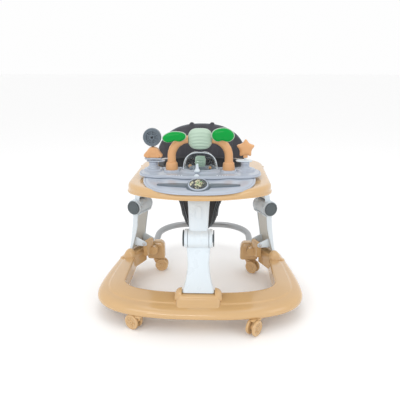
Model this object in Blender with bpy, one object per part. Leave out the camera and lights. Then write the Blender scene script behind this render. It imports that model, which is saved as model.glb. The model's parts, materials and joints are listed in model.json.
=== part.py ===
"""Baby walker: a U-shaped base on four casters, three knee-hinged legs that fold inward
together, and a tray that carries a play panel, toys and a fabric seat.

Numbers below are millimetres, and meshes are made in metres. +X is to the right when the
walker is seen from its front, +Y is its back and +Z is up. The origin is on the floor, under the
middle of the walker. Each leg has its own frame: x along its hinge axes, y inward, z up,
with the foot pivot at (0, 0, FOOT_PIVOT_Z).
"""

import math

import bmesh
import bpy
from mathutils import Matrix, Vector

MM = 0.001
GAP = 0.3
WALL = 3.0
SMOOTH_ANGLE = math.radians(38)

# Base ring
BASE_HALF_WIDTH = 338.0
BASE_FRONT_Y = -350.0
BASE_REAR_Y = 104.0
CORNER_Y = -150.0
INNER_HALF_WIDTH = 248.0
INNER_FRONT_Y = -250.0
CORNER_POWER = 2.7
REAR_TAPER = 30.0
SIDE_STEPS = 5
CORNER_STEPS = 9
BASE_SECTION = [(0, 42), (0, 86), (0.05, 92), (0.58, 84), (0.64, 80), (0.82, 77),
                (0.95, 69), (1, 58), (0.96, 51), (0.55, 42)]
BASE_HOLLOW = [(0.035, 30), (0.035, 83), (0.56, 80), (0.8, 73.5), (0.92, 66), (0.93, 30)]

# Legs
FOOT_PIVOT_Z = 138.0
KNEE_RISE = 140.0
KNEE_OUT = 30.0
TRAY_PIVOT_RISE = 280.0
FRONT_PIVOT_Y = -236.0
SIDE_PIVOT_X = 203.7
SIDE_PIVOT_Y = 57.4
SIDE_TURN = math.radians(114.8)
BARREL_R = 29.0
BARREL_HALF = 31.0
CHEEK_R = 28.0
CHEEK_OUT = 41.5
KNEE_PIN_R = 5.0
BUTTON_R = 25.0
BUTTON_TRAVEL_GAP = 2.2
BUTTON_THICK = 3.8
STUB_R = 12.0
FOOT_PIN_R = 4.0
TRAY_PIN_R = 3.5
TONGUE_HALF = 22.0
EAR_IN = 24.5
EAR_THICK = 4.0
NECK_HALF = 14.0
NECK_R = 9.0
# Each row is height above the foot pivot, half width, outer face y and open edge y.
LOWER_LEG = [(-28, 49, -55, -44), (-12, 45, -55, -41), (10, 39, -54, -37),
             (55, 33, -51, -27), (100, 35, -44.5, -20), (135, 35.5, -43, -17)]
UPPER_ARM = [(150, 28, -44, -18), (175, 28.5, -38, -13), (255, 33, -17, 5), (264, 33, -15, 6)]

# Tray
TRAY_HALF_WIDTH = 221.0
TRAY_FRONT_Y = -337.0
TRAY_FRONT_START_Y = -190.0
TRAY_FRONT_POWER = 1.9
TRAY_BACK_Y = 200.0
TRAY_BACK_START_Y = 60.0
TRAY_BACK_POWER = 2.67
TRAY_BOTTOM_Z = 405.0
DECK_Z = 436.0
DECK_FRONT_FALL = 9.0
FALL_START_Y = -290.0
HOLE_Y = 50.0
HOLE_HALF_X = 140.0
HOLE_HALF_Y = 112.0
PANEL_TOP_Z = 446.0
PANEL_FRONT_Z = 432.0
PANEL_LIFT = 1.6
TIER_TOP_Z = 454.0
BADGE_Y = -285.0
BADGE_Z = 448.7
BADGE_SLOPE = 0.488

# Casters and rear tube
WHEEL_R = 24.5
WHEEL_IN = 6.5
WHEEL_OUT = 15.5
TRAIL = 20.0
STEM_R = 4.0
AXLE_R = 3.0
TUBE_R = 12.5
TUBE_WALL = 1.5
TUBE_X = 186.0
TUBE_BEND_R = 125.0
TUBE_BACK_Y = 343.0
TUBE_START_Y = 66.0
TUBE_START_Z = 98.0
TUBE_SLOPE = 0.035
TUBE_CLEARANCE = 1.3
BLOCK_X = 180.0
BLOCK_HALF_X = 33.0
BLOCK_Y = (91.0, 133.0)
BLOCK_TOP_Z = 121.0
# Stem x, stem y, direction in which the wheels trail, height of the seat the stem enters
CASTERS = {
    "front_left": (-180.0, -322.0, math.radians(150), 52.0),
    "front_right": (180.0, -322.0, math.radians(233), 52.0),
    "rear_left": (-180.0, 106.0, 0.0, 52.0),
    "rear_right": (180.0, 106.0, math.radians(-37), 52.0),
}

# Toys
ARCH_X = 90.0
ARCH_Y = -129.0
ARCH_R = 13.0
ARCH_BEND_Z = 500.0
ARCH_RISE = 54.0
ARCH_TOP_X = 37.5
SHELL_Z = 556.0
# Scale of the shell's outline, and its place in front of (-) or behind the arch
SHELL_SECTIONS = [(0.72, -24), (0.93, -18), (1, -8), (1, 10), (0.9, 16)]
# Side, centre x, centre z, half width and half height
LEAVES = {"left": (-1, 77.0, 563.0, 36.0, 17.0), "right": (1, 71.0, 569.0, 33.0, 21.0)}
DOME_Y = -112.0
DOME_HALF_X = 52.0
DOME_HALF_Y = 36.0
DOME_HEIGHT = 54.0
DOME_WALL = 2.0
ROLLER_RISE = 27.0
STICK_X = -8.0
STICK_Y = -168.0
LEFT_TOY = (-150.0, -116.0)
RIGHT_TOY = (143.0, -110.0)

# Seat
SEAT_HALF_X = 163.0
SEAT_BOTTOM_Z = 437.0
SEAT_RISE = 124.0
SEAT_POWER = 2.5
SEAT_FRONT_Y = 178.0
SEAT_CURVE = 36.0
# Height, half width and half depth
SLING_LEVELS = [(432, 134, 106), (405, 112, 98), (359, 80, 90), (320, 64, 84), (272, 52, 76),
                (235, 47, 68), (210, 40, 52)]
SLING_WALL = 4.0
LEG_HOLE_Z = 300.0

COLOURS = {
    "tan": ((0.73, 0.47, 0.23, 1), 0.25, 0.0),
    "white": ((0.80, 0.86, 0.92, 1), 0.3, 0.0),
    "dark_grey": ((0.10, 0.12, 0.13, 1), 0.4, 0.0),
    "light_grey": ((0.48, 0.55, 0.67, 1), 0.3, 0.0),
    "green": ((0.01, 0.30, 0.05, 1), 0.15, 0.0),
    "mint": ((0.48, 0.68, 0.55, 1), 0.35, 0.0),
    "steel": ((0.33, 0.34, 0.35, 1), 0.35, 0.8),
    "clear": ((0.8, 0.85, 0.85, 1), 0.05, 0.0),
    "fabric": ((0.06, 0.065, 0.08, 1), 0.9, 0.0),
}


# ---- general helpers ----

def clear_scene():
    for obj in list(bpy.data.objects):
        bpy.data.objects.remove(obj, do_unlink=True)


def make_material(name):
    colour, roughness, metallic = COLOURS[name]
    mat = bpy.data.materials.new(name)
    mat.use_nodes = True
    shader = mat.node_tree.nodes["Principled BSDF"]
    shader.inputs["Base Color"].default_value = colour
    shader.inputs["Roughness"].default_value = roughness
    shader.inputs["Metallic"].default_value = metallic
    return mat


def frame_at(x=0.0, y=0.0, z=0.0, turn=0.0):
    """A frame whose origin is the given point in millimetres, turned about +Z."""
    return Matrix.Translation(Vector((x, y, z)) * MM) @ Matrix.Rotation(turn, 4, "Z")


def make(name, shape, colour=None, frame=None, origin=(0, 0, 0)):
    """Adds an object from (points, faces) given in the frame, with its origin at a point."""
    points, faces = shape
    centre = Vector(origin)
    mesh = bpy.data.meshes.new(name)
    mesh.from_pydata([(Vector(p) - centre) * MM for p in points], [], faces)
    work = bmesh.new()
    work.from_mesh(mesh)
    bmesh.ops.recalc_face_normals(work, faces=work.faces)
    work.to_mesh(mesh)
    work.free()
    mesh.shade_smooth()
    mesh.set_sharp_from_angle(angle=SMOOTH_ANGLE)
    obj = bpy.data.objects.new(name, mesh)
    bpy.context.collection.objects.link(obj)
    obj.matrix_world = (frame or Matrix()) @ Matrix.Translation(centre * MM)
    if colour:
        mesh.materials.append(MATERIALS[colour])
    return obj


def boolean(target, operation, shape, frame=None):
    """Adds or removes a helper shape with a Boolean modifier that stays on the target."""
    helper = make(f"{target.name}.{operation.lower()}.{len(target.modifiers)}", shape, None, frame)
    helper.hide_render = True
    helper.display_type = "WIRE"
    modifier = target.modifiers.new(operation.title(), "BOOLEAN")
    modifier.operation = operation
    modifier.solver = "EXACT"
    modifier.object = helper


def join(target, shape, frame=None):
    boolean(target, "UNION", shape, frame)


def cut(target, shape, frame=None):
    boolean(target, "DIFFERENCE", shape, frame)


def loft(rings, loop=False):
    """Skins a list of rings, with a face across each end unless the rings close on themselves."""
    size = len(rings[0])
    points = [p for ring in rings for p in ring]
    faces = []
    spans = len(rings) if loop else len(rings) - 1
    for i in range(spans):
        a = i * size
        b = (i + 1) % len(rings) * size
        for k in range(size):
            n = (k + 1) % size
            faces.append((a + k, a + n, b + n, b + k))
    if not loop:
        faces.append(tuple(range(size)))
        faces.append(tuple(range(len(points) - size, len(points))))
    return points, faces


def split_quads(shape):
    """Halves each four-sided face, so that a twisted one can be read in only one way."""
    points, faces = shape
    halves = []
    for face in faces:
        halves += [face[:3], (face[0],) + face[2:]] if len(face) == 4 else [face]
    return points, halves


def circle(radius, sides, start=0.0):
    step = 2 * math.pi / sides
    return [(radius * math.cos(start + i * step), radius * math.sin(start + i * step))
            for i in range(sides)]


def prism(outline, low, high, axis="z"):
    """Extrudes a flat outline along an axis. The outline's pair fills the other two axes."""
    place = {"x": lambda a, b, h: (h, a, b), "y": lambda a, b, h: (a, h, b),
             "z": lambda a, b, h: (a, b, h)}[axis]
    return loft([[place(a, b, h) for a, b in outline] for h in (low, high)])


def box(x, y, z):
    """A box from its three (low, high) pairs."""
    outline = [(x[0], y[0]), (x[1], y[0]), (x[1], y[1]), (x[0], y[1])]
    return prism(outline, z[0], z[1])


def rod(radius, low, high, centre=(0, 0), axis="x", sides=12):
    outline = [(centre[0] + a, centre[1] + b) for a, b in circle(radius, sides)]
    return prism(outline, low, high, axis)


def turned(profile, centre=(0, 0, 0), axis="z", sides=16):
    """Turns (radius, height) pairs about an axis. A closed bore is a profile that loops."""
    place = {"x": lambda a, b, h: (h, a, b), "y": lambda a, b, h: (a, h, b),
             "z": lambda a, b, h: (a, b, h)}[axis]
    rings = []
    for radius, height in profile:
        ring = []
        for a, b in circle(radius, sides):
            p = place(a, b, height)
            ring.append(tuple(p[i] + centre[i] for i in range(3)))
        rings.append(ring)
    return rings


def rounded_rectangle(x, y, radius, steps=3):
    corners = [(x[1], y[1], 0), (x[0], y[1], 90), (x[0], y[0], 180), (x[1], y[0], 270)]
    outline = []
    for cx, cy, start in corners:
        mx = cx - math.copysign(radius, cx - (x[0] + x[1]) / 2)
        my = cy - math.copysign(radius, cy - (y[0] + y[1]) / 2)
        for i in range(steps + 1):
            angle = math.radians(start + 90 * i / steps)
            outline.append((mx + radius * math.cos(angle), my + radius * math.sin(angle)))
    return outline


def oval(centre_x, centre_y, half_x, front, back, power, steps=32):
    """A superellipse with its own half lengths towards the front (-Y) and the back (+Y)."""
    outline = []
    for i in range(steps):
        angle = 2 * math.pi * i / steps
        c, s = math.cos(angle), math.sin(angle)
        half_y = back if s > 0 else front
        outline.append((centre_x + half_x * math.copysign(abs(c) ** (2 / power), c),
                        centre_y + half_y * math.copysign(abs(s) ** (2 / power), s)))
    return outline


def inset(outline, distance):
    """Moves each point of a counter-clockwise outline inward along its normal."""
    moved = []
    count = len(outline)
    for i, (x, y) in enumerate(outline):
        before, after = outline[i - 1], outline[(i + 1) % count]
        run = Vector((after[0] - before[0], after[1] - before[1])).normalized()
        moved.append((x - run.y * distance, y + run.x * distance))
    return moved


def blend(a, b, share):
    return a + (b - a) * share


def smooth_step(share):
    share = min(max(share, 0.0), 1.0)
    return share * share * (3 - 2 * share)


def pipe(path, radius, across, sides=12, bore=0.0):
    """A round bar or pipe along a flat path. `across` is the normal of the path's plane."""
    across = Vector(across).normalized()

    def rings(r):
        result = []
        for i, p in enumerate(path):
            ahead = Vector(path[min(i + 1, len(path) - 1)]) - Vector(path[max(i - 1, 0)])
            side = across.cross(ahead).normalized()
            ring = [Vector(p) + side * a + across * b for a, b in circle(r, sides)]
            result.append(ring)
        return result

    if bore:
        return loft(rings(radius) + rings(bore)[::-1], loop=True)
    return loft(rings(radius))


# ---- base ----

def corner_point(half_width, front_y, angle):
    return (half_width * math.cos(angle) ** (2 / CORNER_POWER),
            CORNER_Y + (front_y - CORNER_Y) * math.sin(angle) ** (2 / CORNER_POWER))


def base_stations(rear_y):
    """Pairs of inner and outer plan points from the right rear end round to the left one."""
    right = []
    for i in range(SIDE_STEPS):
        y = blend(rear_y, CORNER_Y, i / SIDE_STEPS)
        taper = REAR_TAPER * ((y - CORNER_Y) / (BASE_REAR_Y - CORNER_Y)) ** 1.5
        right.append(((INNER_HALF_WIDTH, y), (BASE_HALF_WIDTH - taper, y)))
    for i in range(CORNER_STEPS + 1):
        angle = math.radians(90 * i / CORNER_STEPS)
        right.append((corner_point(INNER_HALF_WIDTH, INNER_FRONT_Y, angle),
                      corner_point(BASE_HALF_WIDTH, BASE_FRONT_Y, angle)))
    left = [((-a[0], a[1]), (-b[0], b[1])) for a, b in right[-2::-1]]
    return right + left


def base_ring(section, rear_y):
    rings = []
    for inner, outer in base_stations(rear_y):
        rings.append([(blend(inner[0], outer[0], u), blend(inner[1], outer[1], u), z)
                      for u, z in section])
    return loft(rings)


def leg_frames():
    """Name, frame and the side (-1, +1 or both) that has an upright beside the foot."""
    return [("front", frame_at(0, FRONT_PIVOT_Y, FOOT_PIVOT_Z), (-1, 1)),
            ("left", frame_at(-SIDE_PIVOT_X, SIDE_PIVOT_Y, FOOT_PIVOT_Z, -SIDE_TURN), (1,)),
            ("right", frame_at(SIDE_PIVOT_X, SIDE_PIVOT_Y, FOOT_PIVOT_Z, SIDE_TURN), (-1,))]


def upright_outline():
    """Side view of the rounded upright beside a foot, as (y, z) below the pivot."""
    top = [(-43 + 20 * math.cos(math.radians(a)), -28 + 16 * math.sin(math.radians(a)))
           for a in range(0, 181, 30)]
    return [(-65, -50), (-22, -50)] + top


def add_foot_socket(base, frame, sides):
    low = -64 if -1 in sides else -26
    high = 64 if 1 in sides else 26
    mound = [[(x, y, z) for x, y in rounded_rectangle((low + d, high - d), (-68 + d, -24), 7, 2)]
             for z, d in ((-88, 0), (-40, 0), (-32, 5))]
    join(base, loft(mound), frame)
    reach = (max(low + 1, -40), min(high - 1, 40))
    join(base, box(reach, (-57, 11), (-87, -41)), frame)
    for side in sides:
        ends = sorted((side * 52.0, side * 62.0))
        join(base, prism(upright_outline(), ends[0], ends[1], "x"), frame)
    round_top = [(9 * math.cos(math.radians(a)), 9 * math.sin(math.radians(a)))
                 for a in range(0, 181, 20)]
    join(base, prism([(-9, -50), (9, -50)] + round_top, -TONGUE_HALF, TONGUE_HALF, "x"), frame)
    cut(base, rod(FOOT_PIN_R + GAP, -30, 30), frame)


def make_base():
    base = make("base_shell", base_ring(BASE_SECTION, BASE_REAR_Y), "tan")
    cut(base, base_ring(BASE_HOLLOW, BASE_REAR_Y - WALL))
    for _, frame, sides in leg_frames():
        add_foot_socket(base, frame, sides)
    for side in (-1, 1):
        x = side * TUBE_X
        join(base, rod(16.5, 55, 86, (x, TUBE_START_Z), "y"))
        cut(base, rod(TUBE_R + TUBE_CLEARANCE, 62, 95, (x, TUBE_START_Z), "y"))
    for name in ("front_left", "front_right"):
        x, y, _, seat_z = CASTERS[name]
        join(base, rod(9, seat_z, 77, (x, y), "z"))
        cut(base, rod(STEM_R + GAP, seat_z - 5, 72, (x, y), "z"))


def tube_path():
    """Centre line of the rear tube, from its right front end round to its left one."""
    bend_y = TUBE_BACK_Y - TUBE_BEND_R
    bend_x = TUBE_X - TUBE_BEND_R
    right = [(TUBE_X, TUBE_START_Y), (TUBE_X, (TUBE_START_Y + bend_y) / 2)]
    for i in range(7):
        angle = math.radians(90 * i / 6)
        right.append((bend_x + TUBE_BEND_R * math.cos(angle),
                      bend_y + TUBE_BEND_R * math.sin(angle)))
    flat = right + [(-x, y) for x, y in right[::-1]]
    return [(x, y, TUBE_START_Z + (y - TUBE_START_Y) * TUBE_SLOPE) for x, y in flat]


def make_rear_frame():
    make("rear_tube", pipe(tube_path(), TUBE_R, (0, -TUBE_SLOPE, 1), 12, TUBE_R - TUBE_WALL),
         "steel")
    for side, name in ((-1, "left"), (1, "right")):
        x = side * BLOCK_X
        rings = [[(a, b, z) for a, b in
                  rounded_rectangle((x - BLOCK_HALF_X + d, x + BLOCK_HALF_X - d),
                                    (BLOCK_Y[0] + d, BLOCK_Y[1] - d), 8 - d)]
                 for z, d in ((52, 3), (55, 0), (BLOCK_TOP_Z - 4, 0), (BLOCK_TOP_Z, 4))]
        block = make(f"rear_block_{name}", loft(rings), "tan")
        bore_z = TUBE_START_Z + (sum(BLOCK_Y) / 2 - TUBE_START_Y) * TUBE_SLOPE
        cut(block, rod(TUBE_R + TUBE_CLEARANCE, 80, 145, (side * TUBE_X, bore_z), "y"))
        cut(block, rod(STEM_R + GAP, 45, 74, (x, 106), "z"))


def caster_plate_outline():
    hub = [(TRAIL + 11 * math.cos(math.radians(a)), WHEEL_R + 11 * math.sin(math.radians(a)))
           for a in range(-110, 61, 34)]
    return [(-8, 50), (-8, 30)] + hub + [(TRAIL - 3, 44), (8, 50)]


def wheel_profile():
    """Half of the wheel pair, from the outer face in to the axle, as (radius, offset)."""
    return [(16, WHEEL_OUT - 1.5), (18, WHEEL_OUT), (22.5, WHEEL_OUT), (WHEEL_R, WHEEL_OUT - 2),
            (WHEEL_R, WHEEL_IN), (AXLE_R, WHEEL_IN)]


def make_casters():
    for name, (x, y, turn, seat_z) in CASTERS.items():
        frame = frame_at(x, y, 0, turn)
        top = seat_z - 1.5
        outline = [(a, min(b, top)) for a, b in caster_plate_outline()]
        plate = make(f"caster_plate_{name}", prism(outline, -6, 6, "y"), "tan", frame)
        cut(plate, rod(STEM_R + GAP, 34, 60, (0, 0), "z"), frame)
        cut(plate, rod(AXLE_R + GAP, -10, 10, (TRAIL, WHEEL_R), "y"), frame)
        make(f"caster_stem_{name}", rod(STEM_R, 34.5, 70, (0, 0), "z"), "steel", frame)
        half = wheel_profile()
        profile = half + [(r, -h) for r, h in half[::-1]]
        centre = (TRAIL, 0, WHEEL_R)
        make(f"caster_wheels_{name}", loft(turned(profile, centre, "y", 20)), "tan", frame, centre)


# ---- legs ----

def channel_ring(row, wall=0.0, reach=None):
    """One level of a leg: round outer corners, square open edge."""
    z, half, outer, edge = row
    half -= wall
    outer += wall
    edge = edge if reach is None else reach
    radius = 8.0 - wall * 0.6
    ring = []
    for side, start in ((1, 270), (-1, 180)):
        turn = range(3, -1, -1)
        for i in turn:
            angle = math.radians(start + 30 * i)
            ring.append((side * (half - radius) + radius * math.cos(angle),
                         outer + radius + radius * math.sin(angle), z))
    return [(half, edge, z)] + ring + [(-half, edge, z)]


def knee_centre():
    return (0.0, -KNEE_OUT, KNEE_RISE)


def make_lower_leg(name, frame):
    knee = knee_centre()
    leg = make(f"{name}_lower_leg", loft([channel_ring(r) for r in LOWER_LEG]), "white", frame)
    hollow_rows = [(-40,) + LOWER_LEG[0][1:]] + LOWER_LEG[:5]
    cut(leg, loft([channel_ring(r, WALL, 30) for r in hollow_rows]), frame)
    cut(leg, rod(BARREL_R + 0.6, -BARREL_HALF - 0.4, BARREL_HALF + 0.4, knee[1:], "x", 20), frame)
    for side in (-1, 1):
        inner = BARREL_HALF + 0.4
        step = 36.0
        profile = [(CHEEK_R, inner), (CHEEK_R, CHEEK_OUT), (STUB_R + GAP, CHEEK_OUT),
                   (STUB_R + GAP, step), (KNEE_PIN_R + GAP, step), (KNEE_PIN_R + GAP, inner)]
        rings = turned([(r, side * h) for r, h in profile], knee, "x", 16)
        join(leg, loft(rings, loop=True), frame)
    arc = [(9 * math.cos(math.radians(a)), 9 * math.sin(math.radians(a)))
           for a in range(-80, 81, 20)]
    ear = [(-52, -14)] + arc + [(-52, 24)]
    for side in (-1, 1):
        ends = sorted((side * EAR_IN, side * (EAR_IN + EAR_THICK)))
        join(leg, prism(ear, ends[0], ends[1], "x"), frame)
    cut(leg, rod(FOOT_PIN_R + GAP, -34, 34), frame)


def make_upper_arm(name, frame):
    knee = knee_centre()
    top = (0.0, 0.0, TRAY_PIVOT_RISE)
    arm = make(f"{name}_upper_arm", loft([channel_ring(r) for r in UPPER_ARM]), "white",
               frame, knee)
    hollow_rows = [(168,) + UPPER_ARM[1][1:], UPPER_ARM[1], (258,) + UPPER_ARM[2][1:]]
    cut(arm, loft([channel_ring(r, WALL, 30) for r in hollow_rows]), frame)
    join(arm, rod(BARREL_R, -BARREL_HALF, BARREL_HALF, knee[1:], "x", 20), frame)
    join(arm, box((-NECK_HALF, NECK_HALF), (-8, 5.5), (260, TRAY_PIVOT_RISE)), frame)
    join(arm, rod(NECK_R, -NECK_HALF, NECK_HALF, top[1:]), frame)
    cut(arm, rod(KNEE_PIN_R + GAP, -60, 60, knee[1:]), frame)
    cut(arm, rod(TRAY_PIN_R + GAP, -60, 60, top[1:]), frame)


def make_leg_pins(name, frame):
    knee = knee_centre()
    top = (0.0, 0.0, TRAY_PIVOT_RISE)
    make(f"{name}_knee_pin", rod(KNEE_PIN_R, -35.5, 35.5, knee[1:]), "steel", frame, knee)
    make(f"{name}_foot_pin", rod(FOOT_PIN_R, -31, 31), "steel", frame)
    make(f"{name}_tray_pin", rod(TRAY_PIN_R, -20, 20, top[1:]), "steel", frame, top)
    for side, end in ((-1, "a"), (1, "b")):
        low = CHEEK_OUT + BUTTON_TRAVEL_GAP
        profile = [(STUB_R, 38.2), (STUB_R, low), (BUTTON_R, low),
                   (BUTTON_R, low + BUTTON_THICK - 1.2), (BUTTON_R - 1.5, low + BUTTON_THICK)]
        rings = turned([(r, side * h) for r, h in profile], knee, "x", 16)
        make(f"{name}_knee_button_{end}", loft(rings), "dark_grey", frame, knee)


def make_legs():
    for name, frame, _ in leg_frames():
        make_lower_leg(name, frame)
        make_upper_arm(name, frame)
        make_leg_pins(name, frame)


# ---- tray ----

def tray_outline():
    """Plan outline of the tray, counter-clockwise from the front centre."""
    right = []
    for i in range(11):
        angle = math.radians(9 * i)
        right.append((TRAY_HALF_WIDTH * math.sin(angle) ** (2 / TRAY_FRONT_POWER),
                      TRAY_FRONT_START_Y + (TRAY_FRONT_Y - TRAY_FRONT_START_Y)
                      * math.cos(angle) ** (2 / TRAY_FRONT_POWER)))
    for share in (0.35, 0.7):
        right.append((TRAY_HALF_WIDTH, blend(TRAY_FRONT_START_Y, TRAY_BACK_START_Y, share)))
    for i in range(7):
        angle = math.radians(90 * i / 7)
        right.append((TRAY_HALF_WIDTH * math.cos(angle) ** (2 / TRAY_BACK_POWER),
                      TRAY_BACK_START_Y + (TRAY_BACK_Y - TRAY_BACK_START_Y)
                      * math.sin(angle) ** (2 / TRAY_BACK_POWER)))
    back = [(0.0, TRAY_BACK_Y)]
    return right + back + [(-x, y) for x, y in right[:0:-1]]


def deck_fall(y):
    return DECK_FRONT_FALL * smooth_step((FALL_START_Y - y) / (FALL_START_Y - TRAY_FRONT_Y))


def tray_rings(levels):
    """Rings of the tray outline at (height, inset) levels. Levels over 420 dip at the front."""
    outline = tray_outline()
    rings = []
    for z, distance in levels:
        rings.append([(x, y, z - (deck_fall(y) if z > 420 else 0))
                      for x, y in inset(outline, distance)])
    return rings


def make_tray_shell():
    tray = make("tray_shell", loft(tray_rings([(TRAY_BOTTOM_Z, 1.5), (410, 0), (425, 0),
                                               (433.5, 3.5), (DECK_Z, 10), (DECK_Z, 48)])),
                "tan")
    cut(tray, loft(tray_rings([(398, 4), (422, 3), (DECK_Z - WALL, 9), (DECK_Z - WALL, 48)])))
    rim = oval(0, HOLE_Y, HOLE_HALF_X + WALL, HOLE_HALF_Y + WALL, HOLE_HALF_Y + WALL, 2.4, 28)
    join(tray, prism(rim, 416, DECK_Z - 1.5))
    for _, frame, _ in leg_frames():
        for side in (-1, 1):
            ends = sorted((side * (NECK_HALF + 0.6), side * (NECK_HALF + 5.0)))
            join(tray, box(ends, (-8, 8), (TRAY_PIVOT_RISE - 9, TRAY_PIVOT_RISE + 16.5)), frame)
        cut(tray, rod(TRAY_PIN_R + GAP, -21, 21, (0, TRAY_PIVOT_RISE)), frame)
    hole = oval(0, HOLE_Y, HOLE_HALF_X, HOLE_HALF_Y, HOLE_HALF_Y, 2.4, 28)
    cut(tray, prism(hole, 400, 450))


def panel_outline():
    """Plan outline of the play panel's lower tier."""
    return oval(0, -150, 172, 179, 84, 2.9, 32)


def panel_top(y):
    share = min(max((y + 329) / 124, 0.0), 1.0)
    return blend(PANEL_FRONT_Z, PANEL_TOP_Z, share ** 0.8)


def make_music_tray():
    outline = panel_outline()
    low = [(x, y, DECK_Z + PANEL_LIFT - deck_fall(y)) for x, y in outline]
    lip = [(x, y, panel_top(y) - 1.5) for x, y in inset(outline, 0.2)]
    top = [(x, y, panel_top(y)) for x, y in inset(outline, 4)]
    bottom = [(x, y, DECK_Z + GAP + 0.2) for x, y in inset(outline, 20)]
    ridge = [(x, y, PANEL_TOP_Z) for x, y in oval(0, -130, 150, 76, 62, 2.9, 32)]
    panel = make("music_tray", split_quads(loft([bottom, low, lip, top, ridge])), "light_grey")
    under = [[(x, y, z) for x, y in oval(0, -140, 150, 72, 66, 2.9, 24)] for z in (430, 441)]
    cut(panel, loft(under))
    deck = oval(0, -125, 193, 92, 58, 3.2, 28)
    rings = [[(x, y, z) for x, y in inset(deck, d)]
             for z, d in ((PANEL_TOP_Z + GAP, 2), (PANEL_TOP_Z + 2, 0), (452, 0),
                          (TIER_TOP_Z, 2.5))]
    make("music_tray_top", loft(rings), "light_grey")


def badge_z(y, lift):
    """Height of the badge's tilted face at a given y."""
    return BADGE_Z + (y - BADGE_Y) * BADGE_SLOPE + lift


def make_badge():
    """A tilted boss with a side bar at each end, and the clear window set into its face."""
    boss = oval(0, BADGE_Y, 32, 27, 27, 2.0, 28)
    foot = [(x, y, panel_top(y) + GAP) for x, y in boss]
    face = [(x, y, badge_z(y, 0)) for x, y in inset(boss, 1.5)]
    bezel = make("badge_bezel", loft([foot, face]), "dark_grey")
    for side in (-1, 1):
        bar = [(side * x, y) for x, y in ((24, -278), (120, -264), (120, -258), (24, -258))]
        join(bezel, loft([[(x, y, panel_top(y) + lift) for x, y in bar] for lift in (GAP, 3.0)]))
    pocket = oval(0, BADGE_Y, 25.4, 20.4, 20.4, 2.0, 24)
    cut(bezel, loft([[(x, y, badge_z(y, lift)) for x, y in pocket] for lift in (-1.2, 6)]))
    window = oval(0, BADGE_Y, 25, 20, 20, 2.0, 24)
    make("badge_window", loft([[(x, y, badge_z(y, lift)) for x, y in window]
                               for lift in (-0.9, 1.5)]), "clear")


# ---- toys ----

def arch_path(side):
    path = [(side * ARCH_X, ARCH_Y, TIER_TOP_Z + 0.5), (side * ARCH_X, ARCH_Y, ARCH_BEND_Z)]
    for i in range(1, 9):
        angle = math.radians(90 * i / 8)
        path.append((side * (ARCH_TOP_X + (ARCH_X - ARCH_TOP_X) * math.cos(angle)), ARCH_Y,
                     ARCH_BEND_Z + ARCH_RISE * math.sin(angle)))
    return path


def make_arch():
    top = TIER_TOP_Z + GAP
    for side, name in ((-1, "left"), (1, "right")):
        tube = make(f"arch_tube_{name}", pipe(arch_path(side), ARCH_R, (0, side, 0), 10), "tan")
        rings = turned([(18.5, top), (18.5, top + 20), (16.5, top + 25)],
                       (side * ARCH_X, ARCH_Y, 0), "z", 14)
        join(tube, loft(rings))
    rings = []
    for scale, off in SHELL_SECTIONS:
        rings.append([(37 * scale * math.copysign(abs(math.cos(t)) ** 0.8, math.cos(t)),
                       ARCH_Y + off,
                       SHELL_Z + 32 * scale * math.copysign(abs(math.sin(t)) ** 0.8, math.sin(t)))
                      for t in (2 * math.pi * (i + 0.5) / 18 for i in range(18))])
    make("arch_shell", loft(rings), "mint")


def leaf_point(angle, scale, leaf):
    """A two-lobed leaf outline in its own plane, narrow where it meets the shell."""
    _, centre_x, centre_z, half_x, half_z = leaf
    reach = half_x + 2 * math.cos(angle)
    notch = 4.5 * math.exp(-((angle - 1.5 * math.pi) / 0.35) ** 2)
    x = reach * scale * math.cos(angle)
    return centre_x + x, centre_z + (half_z * math.sin(angle) + notch) * scale + 0.08 * x


def make_leaves():
    for name, leaf in LEAVES.items():
        rings = []
        for y, scale in ((-150.5, 0.97), (-154, 1.0), (-160, 0.9), (-164, 0.6)):
            ring = [leaf_point(2 * math.pi * i / 22, scale, leaf) for i in range(22)]
            rings.append([(leaf[0] * x, y, z) for x, z in ring])
        make(f"leaf_{name}", loft(rings), "green")


def make_dome():
    base_z = TIER_TOP_Z + GAP
    rim = 4.0
    outer = oval(0, DOME_Y, DOME_HALF_X + rim, DOME_HALF_Y + rim, DOME_HALF_Y + rim, 2.2, 20)
    make("dome_base", prism(outer, base_z, base_z + rim), "light_grey")
    rings = []
    for shrink, levels in ((0.0, range(6)), (DOME_WALL, range(5, -1, -1))):
        for i in levels:
            angle = math.radians(80 * i / 5)
            height = base_z + rim + GAP + (DOME_HEIGHT - shrink) * math.sin(angle)
            scale = math.cos(angle) ** 0.7
            half_y = (DOME_HALF_Y - shrink) * scale
            rings.append([(x, y, height) for x, y in
                          oval(0, DOME_Y, (DOME_HALF_X - shrink) * scale, half_y, half_y, 2.2, 20)])
    make_dome_cover(rings)
    centre = (0, DOME_Y, base_z + ROLLER_RISE)
    roller = turned([(9, -17), (15, -13), (17, -4), (17, 4), (15, 13), (9, 17)], centre, "x")
    make("dome_roller", loft(roller), "green", None, centre)


def make_dome_cover(rings):
    """Six outer rings with a flat top and six inner rings, joined at the bottom edge."""
    size = len(rings[0])
    points, faces = loft(rings[:6])
    faces.pop(-2)
    inner_points, inner_faces = loft(rings[6:])
    inner_faces.pop(-1)
    shift = len(points)
    last = shift + 5 * size
    faces += [tuple(i + shift for i in f) for f in inner_faces]
    faces += [(k, (k + 1) % size, last + (k + 1) % size, last + k) for k in range(size)]
    make("dome_cover", (points + inner_points, faces), "clear")


def make_joystick():
    low = TIER_TOP_Z + 0.9
    centre = (STICK_X, STICK_Y, low + 7)
    rings = turned([(2.5, low), (7, low + 3.5), (8.5, low + 7), (6, low + 13), (4, low + 22),
                    (3.5, low + 27), (1.5, low + 29)], (STICK_X, STICK_Y, 0), "z", 14)
    make("joystick", loft(rings), "white", None, centre)


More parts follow.
